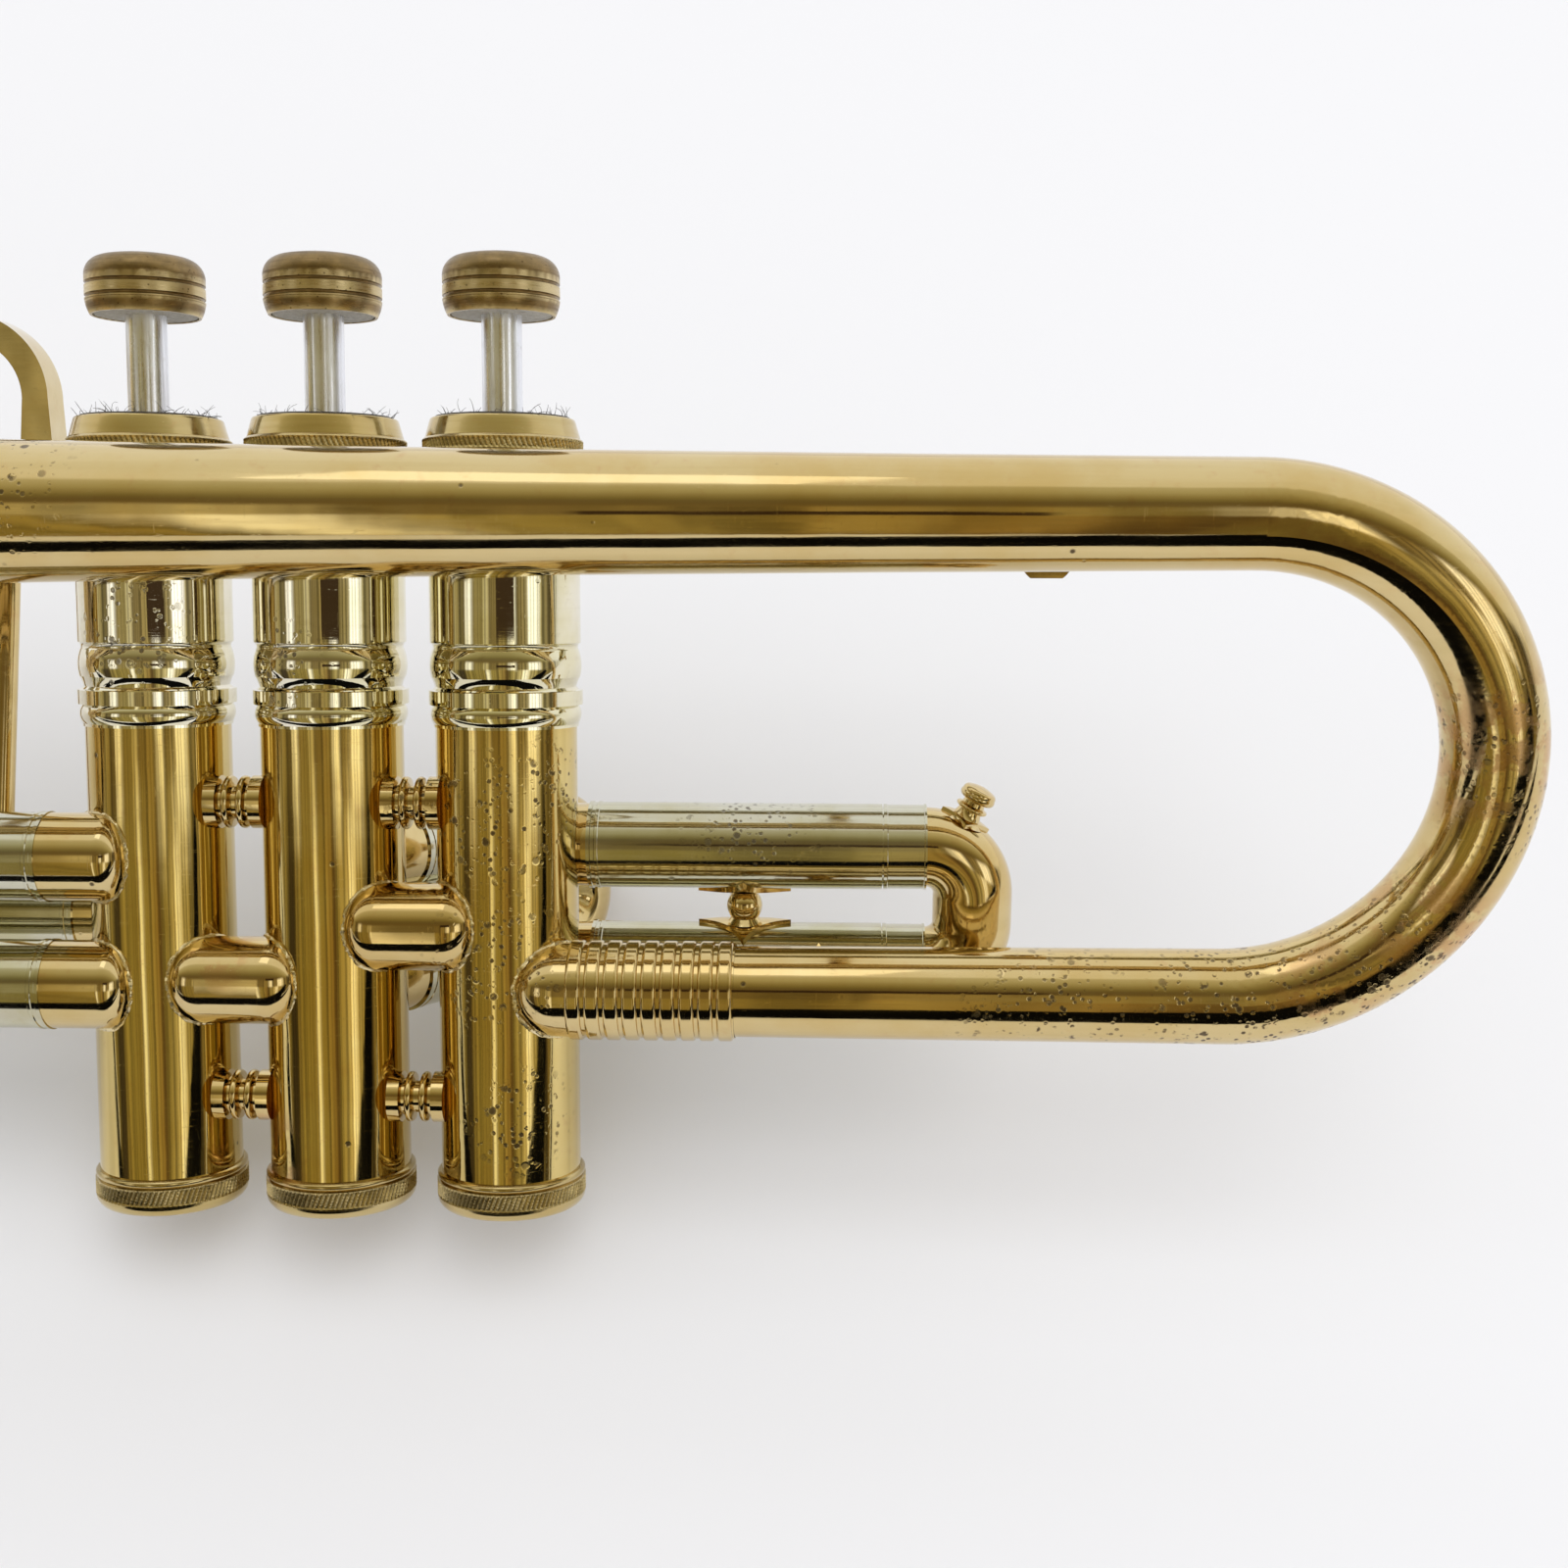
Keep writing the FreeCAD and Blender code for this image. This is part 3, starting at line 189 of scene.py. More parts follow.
SKY = (1.03, 1.03, 1.06)


def add_world():
    """Reflections see soft walls and upright streaks; matt surfaces are lit by an even pale sky."""
    world = bpy.data.worlds.new("studio")
    bpy.context.scene.world = world
    world.use_nodes = True
    graph = Graph(world.node_tree)
    graph.tree.nodes.clear()
    where = graph.node("ShaderNodeTexCoord")

    def along(axis):
        return graph.node("ShaderNodeVectorMath", "Value", {"operation": "DOT_PRODUCT"}, _0=where, _1=axis)

    def coloured(angle, low, stops):
        span_degrees = stops[-1][0] - stops[0][0]
        share = graph.maths("DIVIDE", graph.maths("SUBTRACT", angle, math.radians(low)),
                            math.radians(span_degrees))
        return graph.colours(share, [((stop[0] - low) / span_degrees, stop[1:]) for stop in stops])

    up_share = along(tuple(UP))
    level = along((0, -1, 0))
    height = along((0, 0, 1))
    walls = coloured(graph.maths("ARCTAN2", graph.maths("MAXIMUM", height, 0), level), 0, WALLS)
    round_valve = graph.maths("ARCTAN2", along(tuple(BACK)), along(tuple(LEFT)))
    low_streaks = coloured(round_valve, -180, UPRIGHTS)
    high_streaks = coloured(round_valve, -180, HIGH_UPRIGHTS)
    streaks = graph.mix(graph.ramp(up_share, -0.16, -0.07), low_streaks, high_streaks)
    below = graph.ramp(up_share, -0.75, -0.60)
    above = graph.ramp(up_share, 0.12, 0.24, 1, 0)
    share = graph.maths("MULTIPLY", graph.maths("MULTIPLY", below, above), 0.95)
    clutter = graph.node("ShaderNodeTexNoise", settings={"noise_dimensions": "1D"}, W=round_valve, Scale=12.0,
                         Detail=3.0, Roughness=0.6)
    clutter = graph.ramp(clutter, 0.38, 0.62, 0.55, 1.45)
    clutter = graph.maths("ADD", graph.maths("MULTIPLY", graph.maths("SUBTRACT", clutter, 1.0), share), 1.0)
    seen = graph.mix(share, walls, streaks)
    seen = graph.node("ShaderNodeVectorMath", settings={"operation": "SCALE"}, _0=seen, Scale=clutter)
    rays = graph.node("ShaderNodeLightPath", "Is Diffuse Ray")
    light = graph.mix(rays, seen, SKY)
    glow = graph.node("ShaderNodeBackground", Color=light)
    out = graph.tree.nodes.new("ShaderNodeOutputWorld")
    graph.tree.links.new(glow, out.inputs["Surface"])


def add_studio():
    scene = bpy.context.scene
    scene.view_settings.view_transform = "Standard"
    scene.view_settings.look = "None"
    add_world()

    mesh = plane_mesh("floor", FLOOR_SIZE, FLOOR_SIZE)
    floor = bpy.data.objects.new("floor", mesh)
    scene.collection.objects.link(floor)
    pale = Shader("pale_floor", (0.845, 0.845, 0.85), 0, 0.7)
    mesh.materials.append(pale.material)

    dark = (0.004, 0.004, 0.004)
    white = (1, 1, 1)
    table = Matrix.Translation((0, TABLE_EDGE_Y - TABLE_DEPTH / 2, TABLE_LIFT))
    card("dark_table", table, (2.4, TABLE_DEPTH), dark)
    card("front_flag", facing_valves((0, -184, 123)), (2.4, 0.075), dark)
    card("viewer", facing_valves((68, -12, 240)), (0.115, 0.024), (0.05, 0.03, 0.015))
    card("ceiling_panel", facing_valves((-128, 1262, 658)), (0.48, 0.44), white, 1.6)

    light = bpy.data.lights.new("overhead", "AREA")
    light.energy = 5
    light.size = 1.2
    lamp = bpy.data.objects.new("overhead", light)
    scene.collection.objects.link(lamp)
    lamp.matrix_world = looking(Vector((500, 1200, 1300)), Vector((60, 0, 0)), Vector((1, 0, 0)))
    lamp.visible_glossy = False


# ---------------------------------------------------------------- shading
class Graph:
    """Short calls that add shader nodes and join them."""

    def __init__(self, tree):
        self.tree = tree

    def put(self, socket, value):
        if isinstance(value, bpy.types.NodeSocket):
            self.tree.links.new(value, socket)
        elif isinstance(value, tuple) and len(socket.default_value) > len(value):
            socket.default_value = (*value, 1)
        else:
            socket.default_value = value

    def node(self, kind, output=0, settings=None, **inputs):
        """Adds a node. Inputs are given by name, or as _0, _1 for numbered ones."""
        made = self.tree.nodes.new(kind)
        for key, value in (settings or {}).items():
            setattr(made, key, value)
        for key, value in inputs.items():
            socket = made.inputs[int(key[1:])] if key.startswith("_") else made.inputs[key]
            self.put(socket, value)
        return made.outputs[output]

    def ramp(self, value, low, high, start=0.0, end=1.0):
        """A smooth step from start to end as value goes from low to high."""
        return self.node("ShaderNodeMapRange", settings={"interpolation_type": "SMOOTHSTEP"}, Value=value,
                         _1=low, _2=high, _3=start, _4=end)

    def maths(self, operation, first, second=0.0):
        return self.node("ShaderNodeMath", settings={"operation": operation}, _0=first, _1=second)

    def mix(self, share, first, second):
        made = self.tree.nodes.new("ShaderNodeMix")
        made.data_type = "RGBA"
        self.put(made.inputs[0], share)
        self.put(made.inputs[6], first)
        self.put(made.inputs[7], second)
        return made.outputs[2]

    def colours(self, share, stops):
        """A colour ramp over share, with stops of (place, colour)."""
        made = self.node("ShaderNodeValToRGB", Fac=share).node
        elements = made.color_ramp.elements
        while len(elements) < len(stops):
            elements.new(0.5)
        for element, (place, colour) in zip(elements, stops):
            element.position = place
            element.color = (*colour, 1)
        return made.outputs[0]


class Shader(Graph):
    """One material: a Principled surface and patterns laid over the horn's own axes."""

    def __init__(self, name, colour, metallic, roughness):
        self.material = bpy.data.materials.new(name)
        self.material.use_nodes = True
        super().__init__(self.material.node_tree)
        self.surface = self.tree.nodes["Principled BSDF"]
        self.surface.inputs["Base Color"].default_value = (*colour, 1)
        self.surface.inputs["Metallic"].default_value = metallic
        self.surface.inputs["Roughness"].default_value = roughness
        self.material.diffuse_color = (*colour, 1)

    def horn_mm(self):
        """The place on the horn, in its own axes, in millimetres."""
        where = self.node("ShaderNodeTexCoord", "Object")
        return self.node("ShaderNodeMapping", settings={"vector_type": "POINT"}, Vector=where,
                         Location=tuple(-ORIGIN / MM), Rotation=tuple(TO_HORN.to_euler("XYZ")),
                         Scale=(1 / MM, 1 / MM, 1 / MM))

    def stretched(self, place, scale):
        return self.node("ShaderNodeVectorMath", settings={"operation": "MULTIPLY"}, _0=place, _1=scale)

    def noise(self, place, scale, detail=4.0, roughness=0.55, distortion=0.0):
        return self.node("ShaderNodeTexNoise", Vector=place, Scale=scale, Detail=detail,
                         Roughness=roughness, Distortion=distortion)

    def cells(self, place, scale, randomness=1.0):
        return self.node("ShaderNodeTexVoronoi", "Distance", Vector=place, Scale=scale,
                         Randomness=randomness)

    def near(self, place, spots):
        """1 near any of the given places and 0 away from them: each spot is (x, y, z, radius)."""
        total = None
        for x, y, z, radius in spots:
            away = self.node("ShaderNodeVectorMath", "Value", {"operation": "DISTANCE"},
                             _0=place, _1=(x, y, z))
            one = self.ramp(away, radius * 0.35, radius, 1.0, 0.0)
            total = one if total is None else self.maths("MAXIMUM", total, one)
        return total

    def bump(self, height, strength, distance=0.1, normal=None):
        inputs = {"Height": height, "Strength": strength, "Distance": distance * MM}
        if normal is not None:
            inputs["Normal"] = normal
        return self.node("ShaderNodeBump", **inputs)

    def finish(self, **inputs):
        for key, value in inputs.items():
            self.put(self.surface.inputs[key.replace("_", " ")], value)
        return self.material


# Places where the lacquer is eaten through or rubbed away, as (x, y, z, radius) on the horn.
PITTED = [(25, -42, 10, 12), (33, -38, 6, 10), (16, -40, 8, 8), (25, -62, 10, 13), (148, -66, 8, 22),
          (128, -71, 8, 22), (102, -72, 8, 18), (28, -84, 9, 10), (157, -26, 15, 11), (160, -38, 13, 10),
          (-5, -20, 10, 8), (-25, -15, 10, 10), (60, -40, -2, 14), (-40, 6, 27, 18), (-60, -2, 28, 18)]
BARE = [(-8, -90, 6, 9), (158, -30, 18, 16), (152, -54, 12, 13), (139, -64, 10, 10), (-14, -62, 8, 7)]
DIRT = (0.055, 0.030, 0.012)


def metal(name, colour, roughness, grain, shade, bare_colour, wear=1.0, streaks=0.0, coat=0.0,
          streak_colour=(0.33, 0.20, 0.09)):
    """Old metal: clouded colour, pits, rubbed patches, polishing lines along grain and stray scratches."""
    s = Shader(name, colour, 1.0, roughness)
    place = s.horn_mm()
    base = s.mix(s.ramp(s.noise(place, 0.05, 5, 0.6), 0.40, 0.66), colour, shade)
    base = s.mix(s.ramp(s.noise(place, 0.45, 4, 0.6), 0.56, 0.80, 0, 0.4), base, bare_colour)
    lines = s.noise(s.stretched(place, grain), 1.0, 6, 0.7)
    wide_lines = s.noise(s.stretched(place, tuple(0.28 * g for g in grain)), 1.0, 3, 0.55)
    base = s.mix(s.ramp(wide_lines, 0.45, 0.68, 0, streaks), base, streak_colour)
    rubbed = s.maths("MULTIPLY", s.near(place, BARE), s.ramp(s.noise(place, 0.22, 5, 0.65), 0.47, 0.56))
    base = s.mix(s.maths("MULTIPLY", rubbed, 0.8), base, bare_colour)

    scattered = s.ramp(s.cells(place, 0.17), 0.03, 0.085, 1.0, 0.0)
    scattered = s.maths("MULTIPLY", scattered, s.ramp(s.noise(place, 0.13, 2, 0.5), 0.50, 0.60))
    crowded = s.maths("MULTIPLY", s.near(place, PITTED), s.ramp(s.noise(place, 0.34, 4, 0.7), 0.46, 0.55))
    small = s.maths("MULTIPLY", s.ramp(s.cells(place, 0.95), 0.20, 0.38, 1.0, 0.0), crowded)
    large = s.maths("MULTIPLY", s.ramp(s.cells(place, 0.42), 0.16, 0.30, 1.0, 0.0), crowded)
    pits = s.maths("MAXIMUM", scattered, s.maths("MAXIMUM", small, large))
    dirt = s.maths("MULTIPLY", pits, wear)
    base = s.mix(s.maths("MULTIPLY", dirt, 0.9), base, DIRT)

    across = s.stretched(place, (1.3 - grain[0] * 0.6, 1.3 - grain[1] * 0.6, 1.3 - grain[2] * 0.6))
    hairs = s.ramp(s.noise(s.stretched(across, (0.5, 6.0, 0.5)), 1.0, 2, 0.5, 0.8), 0.68, 0.74)
    hairs = s.maths("MAXIMUM", hairs, s.ramp(s.noise(s.stretched(across, (5.0, 0.4, 5.0)), 1.0, 2, 0.5, 0.8),
                                             0.70, 0.76))
    rough = s.ramp(lines, 0.35, 0.75, roughness * 0.6, roughness * 1.6)
    rough = s.maths("ADD", rough, s.maths("MULTIPLY", dirt, 0.25))
    rough = s.maths("ADD", rough, s.maths("MULTIPLY", hairs, 0.08))
    rough = s.maths("ADD", rough, s.maths("MULTIPLY", rubbed, 0.14))
    waves = s.bump(s.noise(place, 0.07, 2, 0.4), 0.22, 0.5)
    fine = s.bump(s.maths("ADD", lines, s.maths("MULTIPLY", hairs, 0.8)), 0.07, 0.02, waves)
    dents = s.bump(pits, 0.3 * wear, -0.10, fine)
    return s.finish(Base_Color=base, Roughness=rough, Normal=dents, Metallic=s.ramp(dirt, 0, 1, 1.0, 0.85),
                    Coat_Weight=coat, Coat_Roughness=0.04)


def brass_material(name, colour=(0.68, 0.53, 0.26), grain=(0.05, 1.6, 1.6), roughness=0.085, streaks=0.15):
    shade = (colour[0] * 0.94, colour[1] * 0.88, colour[2] * 0.74)
    return metal(name, colour, roughness, grain, shade, (0.60, 0.36, 0.16), 1.0, streaks, 0.2,
                 (0.45, 0.33, 0.10))


def nickel_material(name, colour=(0.63, 0.61, 0.49), grain=(0.05, 1.6, 1.6), roughness=0.11, streaks=0.15):
    shade = (colour[0] * 0.90, colour[1] * 0.88, colour[2] * 0.72)
    return metal(name, colour, roughness, grain, shade, (0.50, 0.42, 0.24), 0.8, streaks, 0.0)


def worn_material(name, colour, grain, roughness, dark):
    """Brass with its lacquer worn off: dull brown, cloudy, darker in the hollows and bright on the edges."""
    s = Shader(name, colour, 1.0, roughness)
    place = s.horn_mm()
    lines = s.noise(s.stretched(place, grain), 1.0, 6, 0.75)
    cloud = s.ramp(s.noise(place, 0.45, 6, 0.7), 0.38, 0.66)
    brown = s.mix(cloud, colour, tuple(c * f for c, f in zip(colour, (1.35, 1.32, 1.25))))
    brown = s.mix(s.ramp(lines, 0.50, 0.72, 0, 0.5), brown, dark)
    edge = s.node("ShaderNodeNewGeometry", "Pointiness")
    brown = s.mix(s.ramp(edge, 0.51, 0.57, 0, 0.75), brown, (0.78, 0.64, 0.36))
    # Darker in the hollows and creases, where pointiness is low.
    brown = s.mix(s.ramp(edge, 0.43, 0.492, 0.8, 0.0), brown, dark)
    specks = s.ramp(s.cells(place, 1.4), 0.12, 0.24, 0.8, 0.0)
    specks = s.maths("MULTIPLY", specks, s.ramp(s.noise(place, 0.6, 3, 0.6), 0.5, 0.6))
    brown = s.mix(specks, brown, dark)
    rough = s.ramp(lines, 0.3, 0.75, roughness * 0.7, roughness * 1.4)
    normal = s.bump(lines, 0.22, 0.05, s.bump(s.noise(place, 2.4, 4, 0.7), 0.12, 0.05))
    return s.finish(Base_Color=brown, Roughness=rough, Normal=normal)


def soft_material(name, colour, other, scale):
    """Felt or cork: rough, mottled and uneven."""
    s = Shader(name, colour, 0.0, 0.92)
    place = s.horn_mm()
    mottled = s.mix(s.ramp(s.noise(place, scale, 5, 0.75), 0.35, 0.68), colour, other)
    normal = s.bump(s.noise(place, scale * 2, 6, 0.8), 0.8, 0.25)
    return s.finish(Base_Color=mottled, Normal=normal, Sheen_Weight=0.3)


ALONG_BELL = (0.05, 1.6, 1.6)
ALONG_VALVE = (1.5, 0.045, 1.5)
ROUND_VALVE = (0.10, 3.2, 0.10)
EVEN = (1.0, 1.0, 1.0)


def make_materials():
    return {
        "lacquered_brass": brass_material("lacquered_brass"),
        "casing_brass": brass_material("casing_brass", (0.73, 0.57, 0.23), ALONG_VALVE, 0.075, 0.45),
        "solder": worn_material("solder", (0.80, 0.70, 0.45), EVEN, 0.30, (0.30, 0.20, 0.08)),
        "cap_brass": brass_material("cap_brass", (0.60, 0.475, 0.23), ROUND_VALVE, 0.17, 0.4),
        "knurl_brass": worn_material("knurl_brass", (0.46, 0.36, 0.16), EVEN, 0.30, (0.05, 0.035, 0.012)),
        "worn_brass": worn_material("worn_brass", (0.44, 0.33, 0.15), EVEN, 0.36, (0.13, 0.08, 0.03)),
        "button_brass": worn_material("button_brass", (0.23, 0.16, 0.075), ROUND_VALVE, 0.33,
                                      (0.085, 0.05, 0.02)),
        "hook_brass": brass_material("hook_brass", (0.74, 0.64, 0.42), ALONG_BELL, 0.08, 0.1),
        "nickel_silver": nickel_material("nickel_silver"),
        "bright_nickel": nickel_material("bright_nickel", (0.86, 0.81, 0.66), ROUND_VALVE, 0.04, 0.04),
        "stem_nickel": metal("stem_nickel", (0.90, 0.92, 0.97), 0.33, ALONG_VALVE, (0.78, 0.78, 0.80),
                             (0.60, 0.57, 0.50), 0.6, 0.15, 0.0, (0.50, 0.48, 0.44)),
        "piston_monel": nickel_material("piston_monel", (0.60, 0.57, 0.52), ALONG_VALVE, 0.25),
        "felt": soft_material("felt", (0.035, 0.03, 0.025), (0.12, 0.10, 0.075), 1.6),
        "pale_felt": soft_material("pale_felt", (0.50, 0.48, 0.44), (0.75, 0.73, 0.70), 1.6),
        "cork": soft_material("cork", (0.45, 0.29, 0.15), (0.62, 0.44, 0.26), 1.2),
        "spring_bronze": nickel_material("spring_bronze", (0.66, 0.48, 0.28), EVEN, 0.25),
    }


VALVES = (1, 2, 3)
FINISH = {"stem_nickel": "valve_stem_", "bright_nickel": "valve_baluster_", "casing_brass": "valve_casing_",
          "pale_felt": "button_felt_", "button_brass": "finger_button_"}


def finish_cad_nodes():
    """Every CAD node takes the material of its own finish, or else of its slot in the record."""
    slots = {part["node"]: part["material_slot"] for part in frame["record"]["subparts"]}
    for valve in VALVES:
        for material, start in FINISH.items():
            slots[start + str(valve)] = material
    slots["finger_hook"] = "hook_brass"
    for name, obj in NODES.items():
        obj.data.materials.clear()
        obj.data.materials.append(MATERIALS[slots[name]])


# ---------------------------------------------------------------- mesh pieces
def add_piece(name, verts, faces, body, materials, slot, stands_for=(), face_material=None):
    """A smooth mesh piece from points in horn millimetres, riding on a body of the frame."""
    mesh = bpy.data.meshes.new(name)
    mesh.from_pydata([HORN_TO_ROW @ v for v in verts], [], faces)
    for material in materials:
        mesh.materials.append(MATERIALS[material])
    if face_material:
        mesh.polygons.foreach_set("material_index", face_material)
    made = bmesh.new()
    made.from_mesh(mesh)
    bmesh.ops.recalc_face_normals(made, faces=made.faces)
    made.to_mesh(mesh)
    made.free()
    mesh.shade_smooth()
    mesh.set_sharp_from_angle(angle=math.radians(32))
    obj = bpy.data.objects.new(name, mesh)
    bpy.context.scene.collection.objects.link(obj)
    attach(obj, body)
    if stands_for:
        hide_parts(*stands_for)
    return obj


def rounded(points, step=0.35):
    """Fills the straight runs of an outline with points no further apart than step."""
    filled = [Vector(points[0])]
    for start, end in zip(points, points[1:]):
        a, b = Vector(start), Vector(end)
        count = max(1, math.ceil((b - a).length / step))
        filled += [a.lerp(b, i / count) for i in range(1, count + 1)]
    return filled


def curve_through(points, steps=6):
    """A soft curve through (radius, height) points."""
    ends = [Vector(points[0]), *[Vector(p) for p in points], Vector(points[-1])]
    curve = []
    for i in range(1, len(ends) - 2):
        p0, p1, p2, p3 = ends[i - 1:i + 3]
        for k in range(steps):
            t = k / steps
            curve.append(0.5 * (2 * p1 + (p2 - p0) * t + (2 * p0 - 5 * p1 + 4 * p2 - p3) * t * t
                                + (3 * p1 - p0 - 3 * p2 + p3) * t ** 3))
    return curve + [ends[-1]]


def lathe_mesh(outline, centre, axis, segments, relief=None, closed=False):
    """Points and faces of an outline of (radius, height) turned about an axis through centre."""
    axis = Vector(axis).normalized()
    first = axis.orthogonal().normalized()
    second = axis.cross(first)
    verts, faces = [], []
    for radius, height in outline:
        for i in range(segments):
            angle = FULL_TURN * i / segments
            out = radius + (relief(angle, radius, height) if relief else 0)
            way = first * math.cos(angle) + second * math.sin(angle)
            verts.append(Vector(centre) + axis * height + way * out)
    rows = len(outline)
    for row in range(rows if closed else rows - 1):
        a, b = row * segments, ((row + 1) % rows) * segments
        for i in range(segments):
            j = (i + 1) % segments
            faces.append((a + i, a + j, b + j, b + i))
    return verts, faces


def join(*meshes):
    verts, faces = [], []
    for more_verts, more_faces in meshes:
        shift = len(verts)
        verts += more_verts
        faces += [tuple(index + shift for index in face) for face in more_faces]
    return verts, faces


def bead_mesh(path, radius, sides=10, roughness=0.0, seed=0):
    """A thin closed bead along a loop of points, with an uneven thickness."""
    verts, faces = [], []
    count = len(path)
    for i, point in enumerate(path):
        along = (path[(i + 1) % count] - path[i - 1]).normalized()
        first = along.orthogonal().normalized()
        second = along.cross(first)
        for k in range(sides):
            angle = FULL_TURN * k / sides
            way = first * math.cos(angle) + second * math.sin(angle)
            uneven = 1 + roughness * noise.noise(point * 1.7 + way * 0.6 + Vector((seed, 0, 0)))
            verts.append(point + way * radius * uneven)
    # Each ring starts from its own sideways direction, so neighbours are matched by the nearest point.
    for i in range(count):
        a, b = i * sides, ((i + 1) % count) * sides
        shift = min(range(sides), key=lambda k: (verts[a] - verts[b + k]).length)
        for k in range(sides):
            n = (k + 1) % sides
            faces.append((a + k, a + n, b + (n + shift) % sides, b + (k + shift) % sides))
    return verts, faces


# ---------------------------------------------------------------- valves
KNURL_COUNT = 96
KNURL_SLANT = 3.4         # radians of the cuts' wave per millimetre of height
KNURL_DEPTH = 0.24
CAP_SIDES = 420           # enough for the knurl's cuts


def knurl(slant, low, high):
    """Relief of slanting cuts between two heights, fading at the band's ends."""
    def relief(angle, _radius, height):
        if not low <= height <= high:
            return 0
        fade = min(1, (height - low) / 0.25, (high - height) / 0.25)
        wave = math.sin(KNURL_COUNT * angle + slant * (height - low))
        return -KNURL_DEPTH * fade * (0.5 - 0.5 * wave) ** 0.8
    return relief


def top_cap(valve):
    low, high = span(f"top_cap_{valve}")
    centre = ((low.x + high.x) / 2, 0, 0)
    base, top = low.y, high.y
    r = (high.x - low.x) / 2
    outline = [(r - 1.3, base), (r - 0.25, base), (r - 0.02, base + 0.12), (r - 0.02, base + 1.75),
               (r - 0.2, base + 1.95), (r - 0.42, base + 2.1)]
    cone = curve_through([(r - 0.42, base + 2.1), (r - 0.5, base + 2.4), (r - 1.05, top - 0.45),
                          (r - 1.22, top - 0.1), (r - 1.42, top), (r - 1.68, top - 0.05),
                          (r - 1.8, top - 0.35)])
    inner = [(r - 1.88, top - 1.0), (3.3, top - 1.0), (3.3, base + 2.6), (r - 1.3, base + 2.6)]
    profile = rounded(outline, 0.14) + cone[1:] + rounded(inner, 1.5)
    mesh = lathe_mesh(profile, centre, (0, 1, 0), CAP_SIDES,
                      knurl(KNURL_SLANT, base + 0.2, base + 1.7), closed=True)
    banded = [int(all(0.1 < mesh[0][i].y - base < 1.9 for i in face)) for face in mesh[1]]
    add_piece(f"cap_top_{valve}", *mesh, "horn", ["cap_brass", "knurl_brass"], "worn_brass",
              [f"top_cap_{valve}"], banded)


def bottom_cap(valve):
    low, high = span(f"bottom_cap_{valve}")
    centre = ((low.x + high.x) / 2, 0, 0)
    base, top = low.y, high.y
    r = (high.x - low.x) / 2
    seam = curve_through([(r - 0.42, top), (r - 0.12, top - 0.3), (r - 0.1, top - 0.75),
                          (r - 0.38, top - 1.1)])
    band = [(r - 0.38, top - 1.1), (r - 0.04, top - 1.22), (r, top - 1.3), (r, base + 1.75),
            (r - 0.04, base + 1.6)]
    foot = curve_through([(r - 0.04, base + 1.6), (r - 0.16, base + 0.95), (r - 0.6, base + 0.3),
                          (r - 1.25, base), (r - 2.2, base)])
    under = [(r - 3.4, base), (r - 3.7, base + 0.3), (2.4, base + 0.3), (2.4, base + 1.2),
             (r - 1.25, base + 1.2), (r - 1.25, top)]
    profile = seam + rounded(band, 0.14)[1:] + foot[1:] + rounded(under, 1.5)
    mesh = lathe_mesh(profile, centre, (0, 1, 0), CAP_SIDES,
                      knurl(-KNURL_SLANT, base + 1.65, top - 1.25), closed=True)
    banded = [int(all(1.6 < mesh[0][i].y - base < top - base - 1.2 for i in face)) for face in mesh[1]]
    add_piece(f"cap_bottom_{valve}", *mesh, "horn", ["cap_brass", "knurl_brass"], "worn_brass",
              [f"bottom_cap_{valve}"], banded)


HAIR_SEED = 7
HAIRS = 90


def fuzz(valve, rng):
    """Loose felt hairs that stand out of the cap around the stem and lean over its rim."""
    low, high = span(f"top_cap_{valve}")
    centre = Vector(((low.x + high.x) / 2, high.y - 0.6, 0))
    rim = (high.x - low.x) / 2 - 2.0
    meshes = []
    for _ in range(HAIRS):
        angle = rng.uniform(0, FULL_TURN)
        outward = Vector((math.cos(angle), 0, math.sin(angle)))
        point = centre + outward * rim * rng.uniform(0.7, 1.0)
        lean = outward * rng.uniform(0, 1)
        way = (lean + Vector((rng.uniform(-1, 1), rng.uniform(0.7, 1.6), 0))).normalized()
        bend = Vector((rng.uniform(-1.5, 1.5), rng.uniform(-1.2, 0.3), rng.uniform(-1, 1)))
        length = rng.uniform(1.2, 3.2)
        path = []
        for k in range(8):
            path.append(point.copy())
            point = point + (way + bend * (k / 7)).normalized() * (length / 7)
        meshes.append(hair_mesh(path, rng.uniform(0.05, 0.085)))
    add_piece(f"felt_hairs_{valve}", *join(*meshes), "horn", ["felt"], "felt")


def hair_mesh(path, radius):
    verts, faces = [], []
    for i, point in enumerate(path):
        along = (path[min(i + 1, len(path) - 1)] - path[max(i - 1, 0)]).normalized()
        first = along.orthogonal().normalized()
        second = along.cross(first)
        width = radius * (1 - 0.7 * i / len(path))
        verts += [point + (first * math.cos(a) + second * math.sin(a)) * width for a in (0, 2.1, 4.2)]
    for i in range(len(path) - 1):
        for k in range(3):
            n = (k + 1) % 3
            faces.append((3 * i + k, 3 * i + n, 3 * i + 3 + n, 3 * i + 3 + k))
    return verts, faces


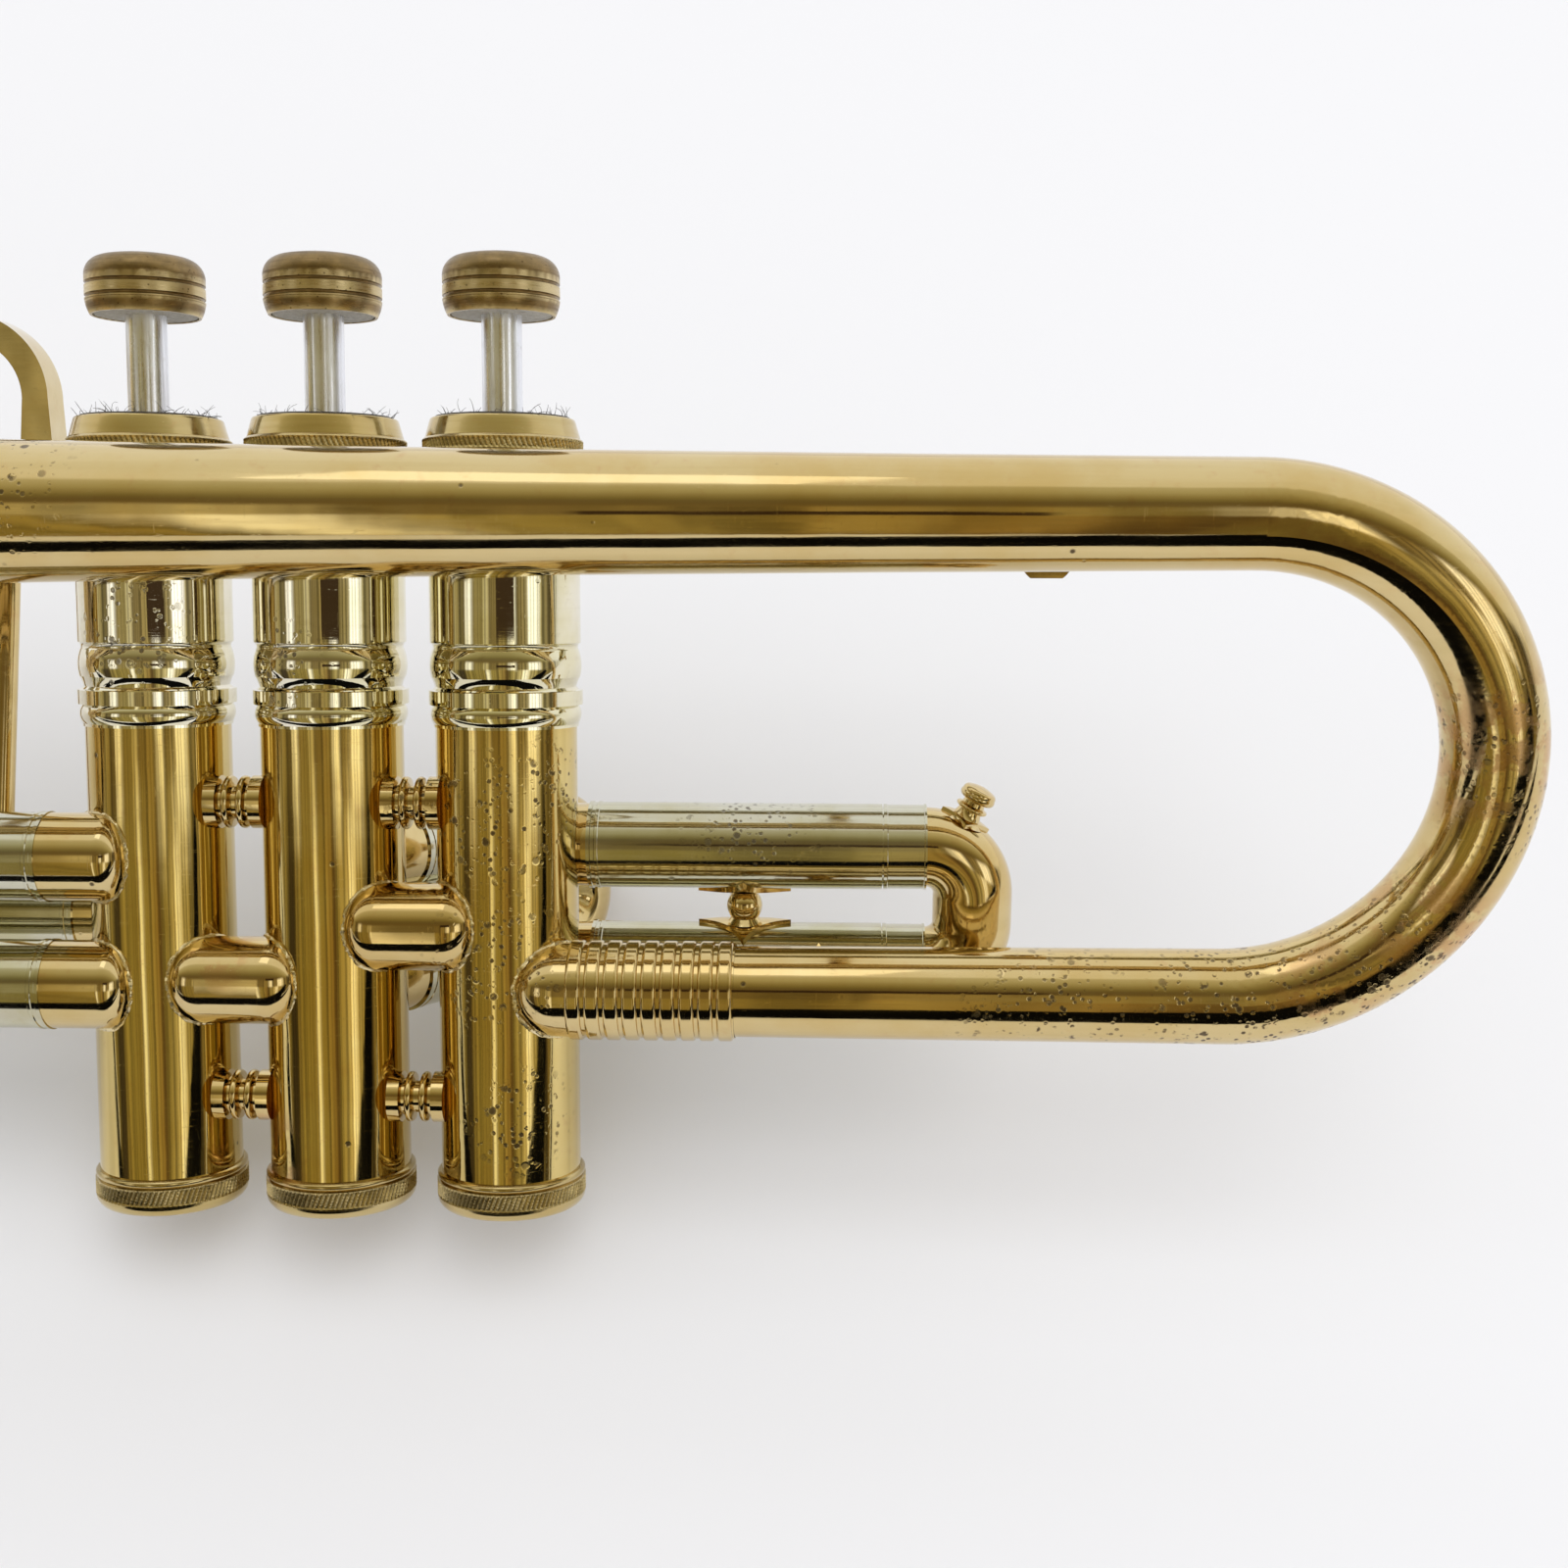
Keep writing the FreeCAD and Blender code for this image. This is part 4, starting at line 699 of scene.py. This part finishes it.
def finger_button(valve):
    """A worn button laid over the CAD one: grooves round its edge, a flat crown and a hollow underside."""
    low, high = span(f"finger_button_{valve}")
    centre = ((low.x + high.x) / 2, 0, 0)
    r, base, top = (high.x - low.x) / 2, low.y, high.y

    def ring(at):
        """A narrow groove between two rounded lips."""
        return [(r - 0.02, at - 0.42), (r - 0.10, at - 0.30), (r - 0.34, at - 0.20), (r - 0.36, at + 0.20),
                (r - 0.10, at + 0.30), (r - 0.02, at + 0.42)]

    side = [(r - 1.0, base + 0.3), (r - 0.9, base), (r - 0.66, base), (r - 0.3, base + 0.9)]
    side += ring(base + 2.35) + ring(base + 4.15)
    crown = curve_through([(r - 0.02, base + 4.6), (r - 0.12, base + 5.6), (r - 0.5, base + 6.6),
                           (r - 1.3, base + 7.5), (r - 2.6, top - 0.38), (r - 4.4, top - 0.12),
                           (1.9, top - 0.01)])
    under = [(1.9, top - 2.0), (1.9, base + 1.4), (r - 1.3, base + 1.4)]
    profile = rounded(side, 0.10) + crown[1:] + rounded(under, 1.0)
    shape = lathe_mesh(profile, centre, (0, 1, 0), 160, closed=True)
    add_piece(f"button_crown_{valve}", *shape, f"valve_{valve}", ["button_brass"], "worn_brass")


# ---------------------------------------------------------------- round-ended tubes and their seams
NOSE_POWER = 2.2          # an oval end, a little fuller than an ellipse
CROSSOVER_NOSE = 0.85     # lengths of the oval ends, as shares of their tube's radius
THIRD_NOSE = 0.62
BALL_NOSE = 1.0
CROSSOVER_TIP = 2.71      # from a valve's axis to a crossover's tip
KNUCKLE_R = 6.6           # the round knuckle where the bell's tail meets the first valve
KNUCKLE_X = 8.0           # from the first valve's axis to the centre of that knuckle's ball
THIRD_KNUCKLE_R = 6.2
THIRD_TIP = 1.25          # from the third valve's axis to the tip of its slide's knuckles
SINK = 0.15               # how far a piece goes into a casing's wall
SKIN = 0.04               # a piece over a CAD node stands this far off it
SEAM_R = 0.34


def nose_radius(depth, radius, nose):
    """The radius of a tube with an oval end of length nose, at a depth in from its tip."""
    share = min(1.0, max(0.0, depth / nose))
    return radius * (1 - (1 - share) ** NOSE_POWER) ** (1 / NOSE_POWER)


def barrel_mesh(centre, radius, nose, start, end, casings, casing_r):
    """A round-ended tube along X from start to end, flattened onto the casings that it is let into."""
    depths = [nose * (k / 14) ** 2 for k in range(15)]
    outline = [(max(nose_radius(d, radius, nose), 0.01), start + d) for d in depths]
    middle = [start + nose + (end - start - 2 * nose) * k / 40 for k in range(1, 40)]
    outline += [(radius, x) for x in middle]
    outline += [(max(nose_radius(d, radius, nose), 0.01), end - d) for d in reversed(depths)]
    verts, faces = lathe_mesh(outline, centre, (1, 0, 0), 96)
    for point in verts:
        for valve_x in casings:
            away = Vector((point.x - valve_x, 0, point.z))
            if away.length < casing_r - SINK:
                moved = away.normalized() * (casing_r - SINK)
                point.x, point.z = valve_x + moved.x, moved.z
    return verts, faces


def nose_line(centre, radius, nose, tip, valve_x, casing_r, side, steps=120):
    """The line where a round nose sinks into a casing. Side is +1 when the tube leaves it towards +X.

    Each point is found by halving the stretch from the tip along the tube until it meets the casing.
    """
    path = []
    for i in range(steps):
        angle = FULL_TURN * i / steps
        inner, outer = 0.0, 12.0
        for _ in range(26):
            depth = (inner + outer) / 2
            r = nose_radius(depth, radius, nose)
            x = tip + side * depth
            z = centre.z + r * math.cos(angle)
            if (x - valve_x) ** 2 + z ** 2 < casing_r ** 2:
                inner = depth
            else:
                outer = depth
        path.append(Vector((x, centre.y + r * math.sin(angle), z)))
    return path


def add_tubes_and_seams():
    """The crossovers and the third slide's knuckles, with the solder lines round every nose."""
    casing_low, casing_high = span("valve_casing_2")
    casing_r = (casing_high.x - casing_low.x) / 2
    spacing = (span("valve_casing_1")[0] - casing_low).x
    seams = []
    tubes = []

    def seam(centre, radius, nose, tip_x, valve_x, side):
        line = nose_line(centre, radius, nose, tip_x, valve_x, casing_r - 0.05, side)
        seams.append(bead_mesh(line, SEAM_R, roughness=0.9, seed=len(seams)))

    for node, front in (("crossover_3_to_2", -spacing), ("crossover_2_to_1", 0.0)):
        low, high = span(node)
        radius = (high.y - low.y) / 2
        centre = Vector((0, (low.y + high.y) / 2, high.z - radius))
        ends = (front + CROSSOVER_TIP, front + spacing - CROSSOVER_TIP)
        nose = CROSSOVER_NOSE * radius
        tube = barrel_mesh(centre, radius, nose, *ends, (front, front + spacing), casing_r)
        add_piece(node + "_tube", *tube, "horn", ["lacquered_brass"], "lacquered_brass", [node])
        seam(centre, radius, nose, ends[0], front, 1)
        seam(centre, radius, nose, ends[1], front + spacing, -1)

    low, high = span("ribbed_ferrule")
    tail = Vector((0, (low.y + high.y) / 2, (low.z + high.z) / 2))
    seam(tail, KNUCKLE_R, BALL_NOSE * KNUCKLE_R, spacing + KNUCKLE_X - KNUCKLE_R, spacing, 1)

    low, high = span("third_slide_sleeves")
    sleeve_r = (high.z - low.z) / 2
    radius = THIRD_KNUCKLE_R + SKIN
    nose = THIRD_NOSE * radius
    for y in (high.y - sleeve_r, low.y + sleeve_r):
        centre = Vector((0, y, (low.z + high.z) / 2))
        ends = (high.x - 0.2 - nose, -spacing - THIRD_TIP)
        tube = barrel_mesh(centre, radius, nose, *ends, (-spacing,), casing_r)
        tubes.append(tube)
        seam(centre, radius, nose, ends[1], -spacing, -1)
    add_piece("third_knuckles", *join(*tubes), "horn", ["lacquered_brass"], "lacquered_brass")
    add_piece("solder_seams", *join(*seams), "horn", ["solder"], "worn_brass")


add_camera()
add_studio()
MATERIALS = make_materials()
finish_cad_nodes()
hairs = random.Random(HAIR_SEED)
for number in VALVES:
    top_cap(number)
    bottom_cap(number)
    finger_button(number)
    fuzz(number, hairs)
add_tubes_and_seams()
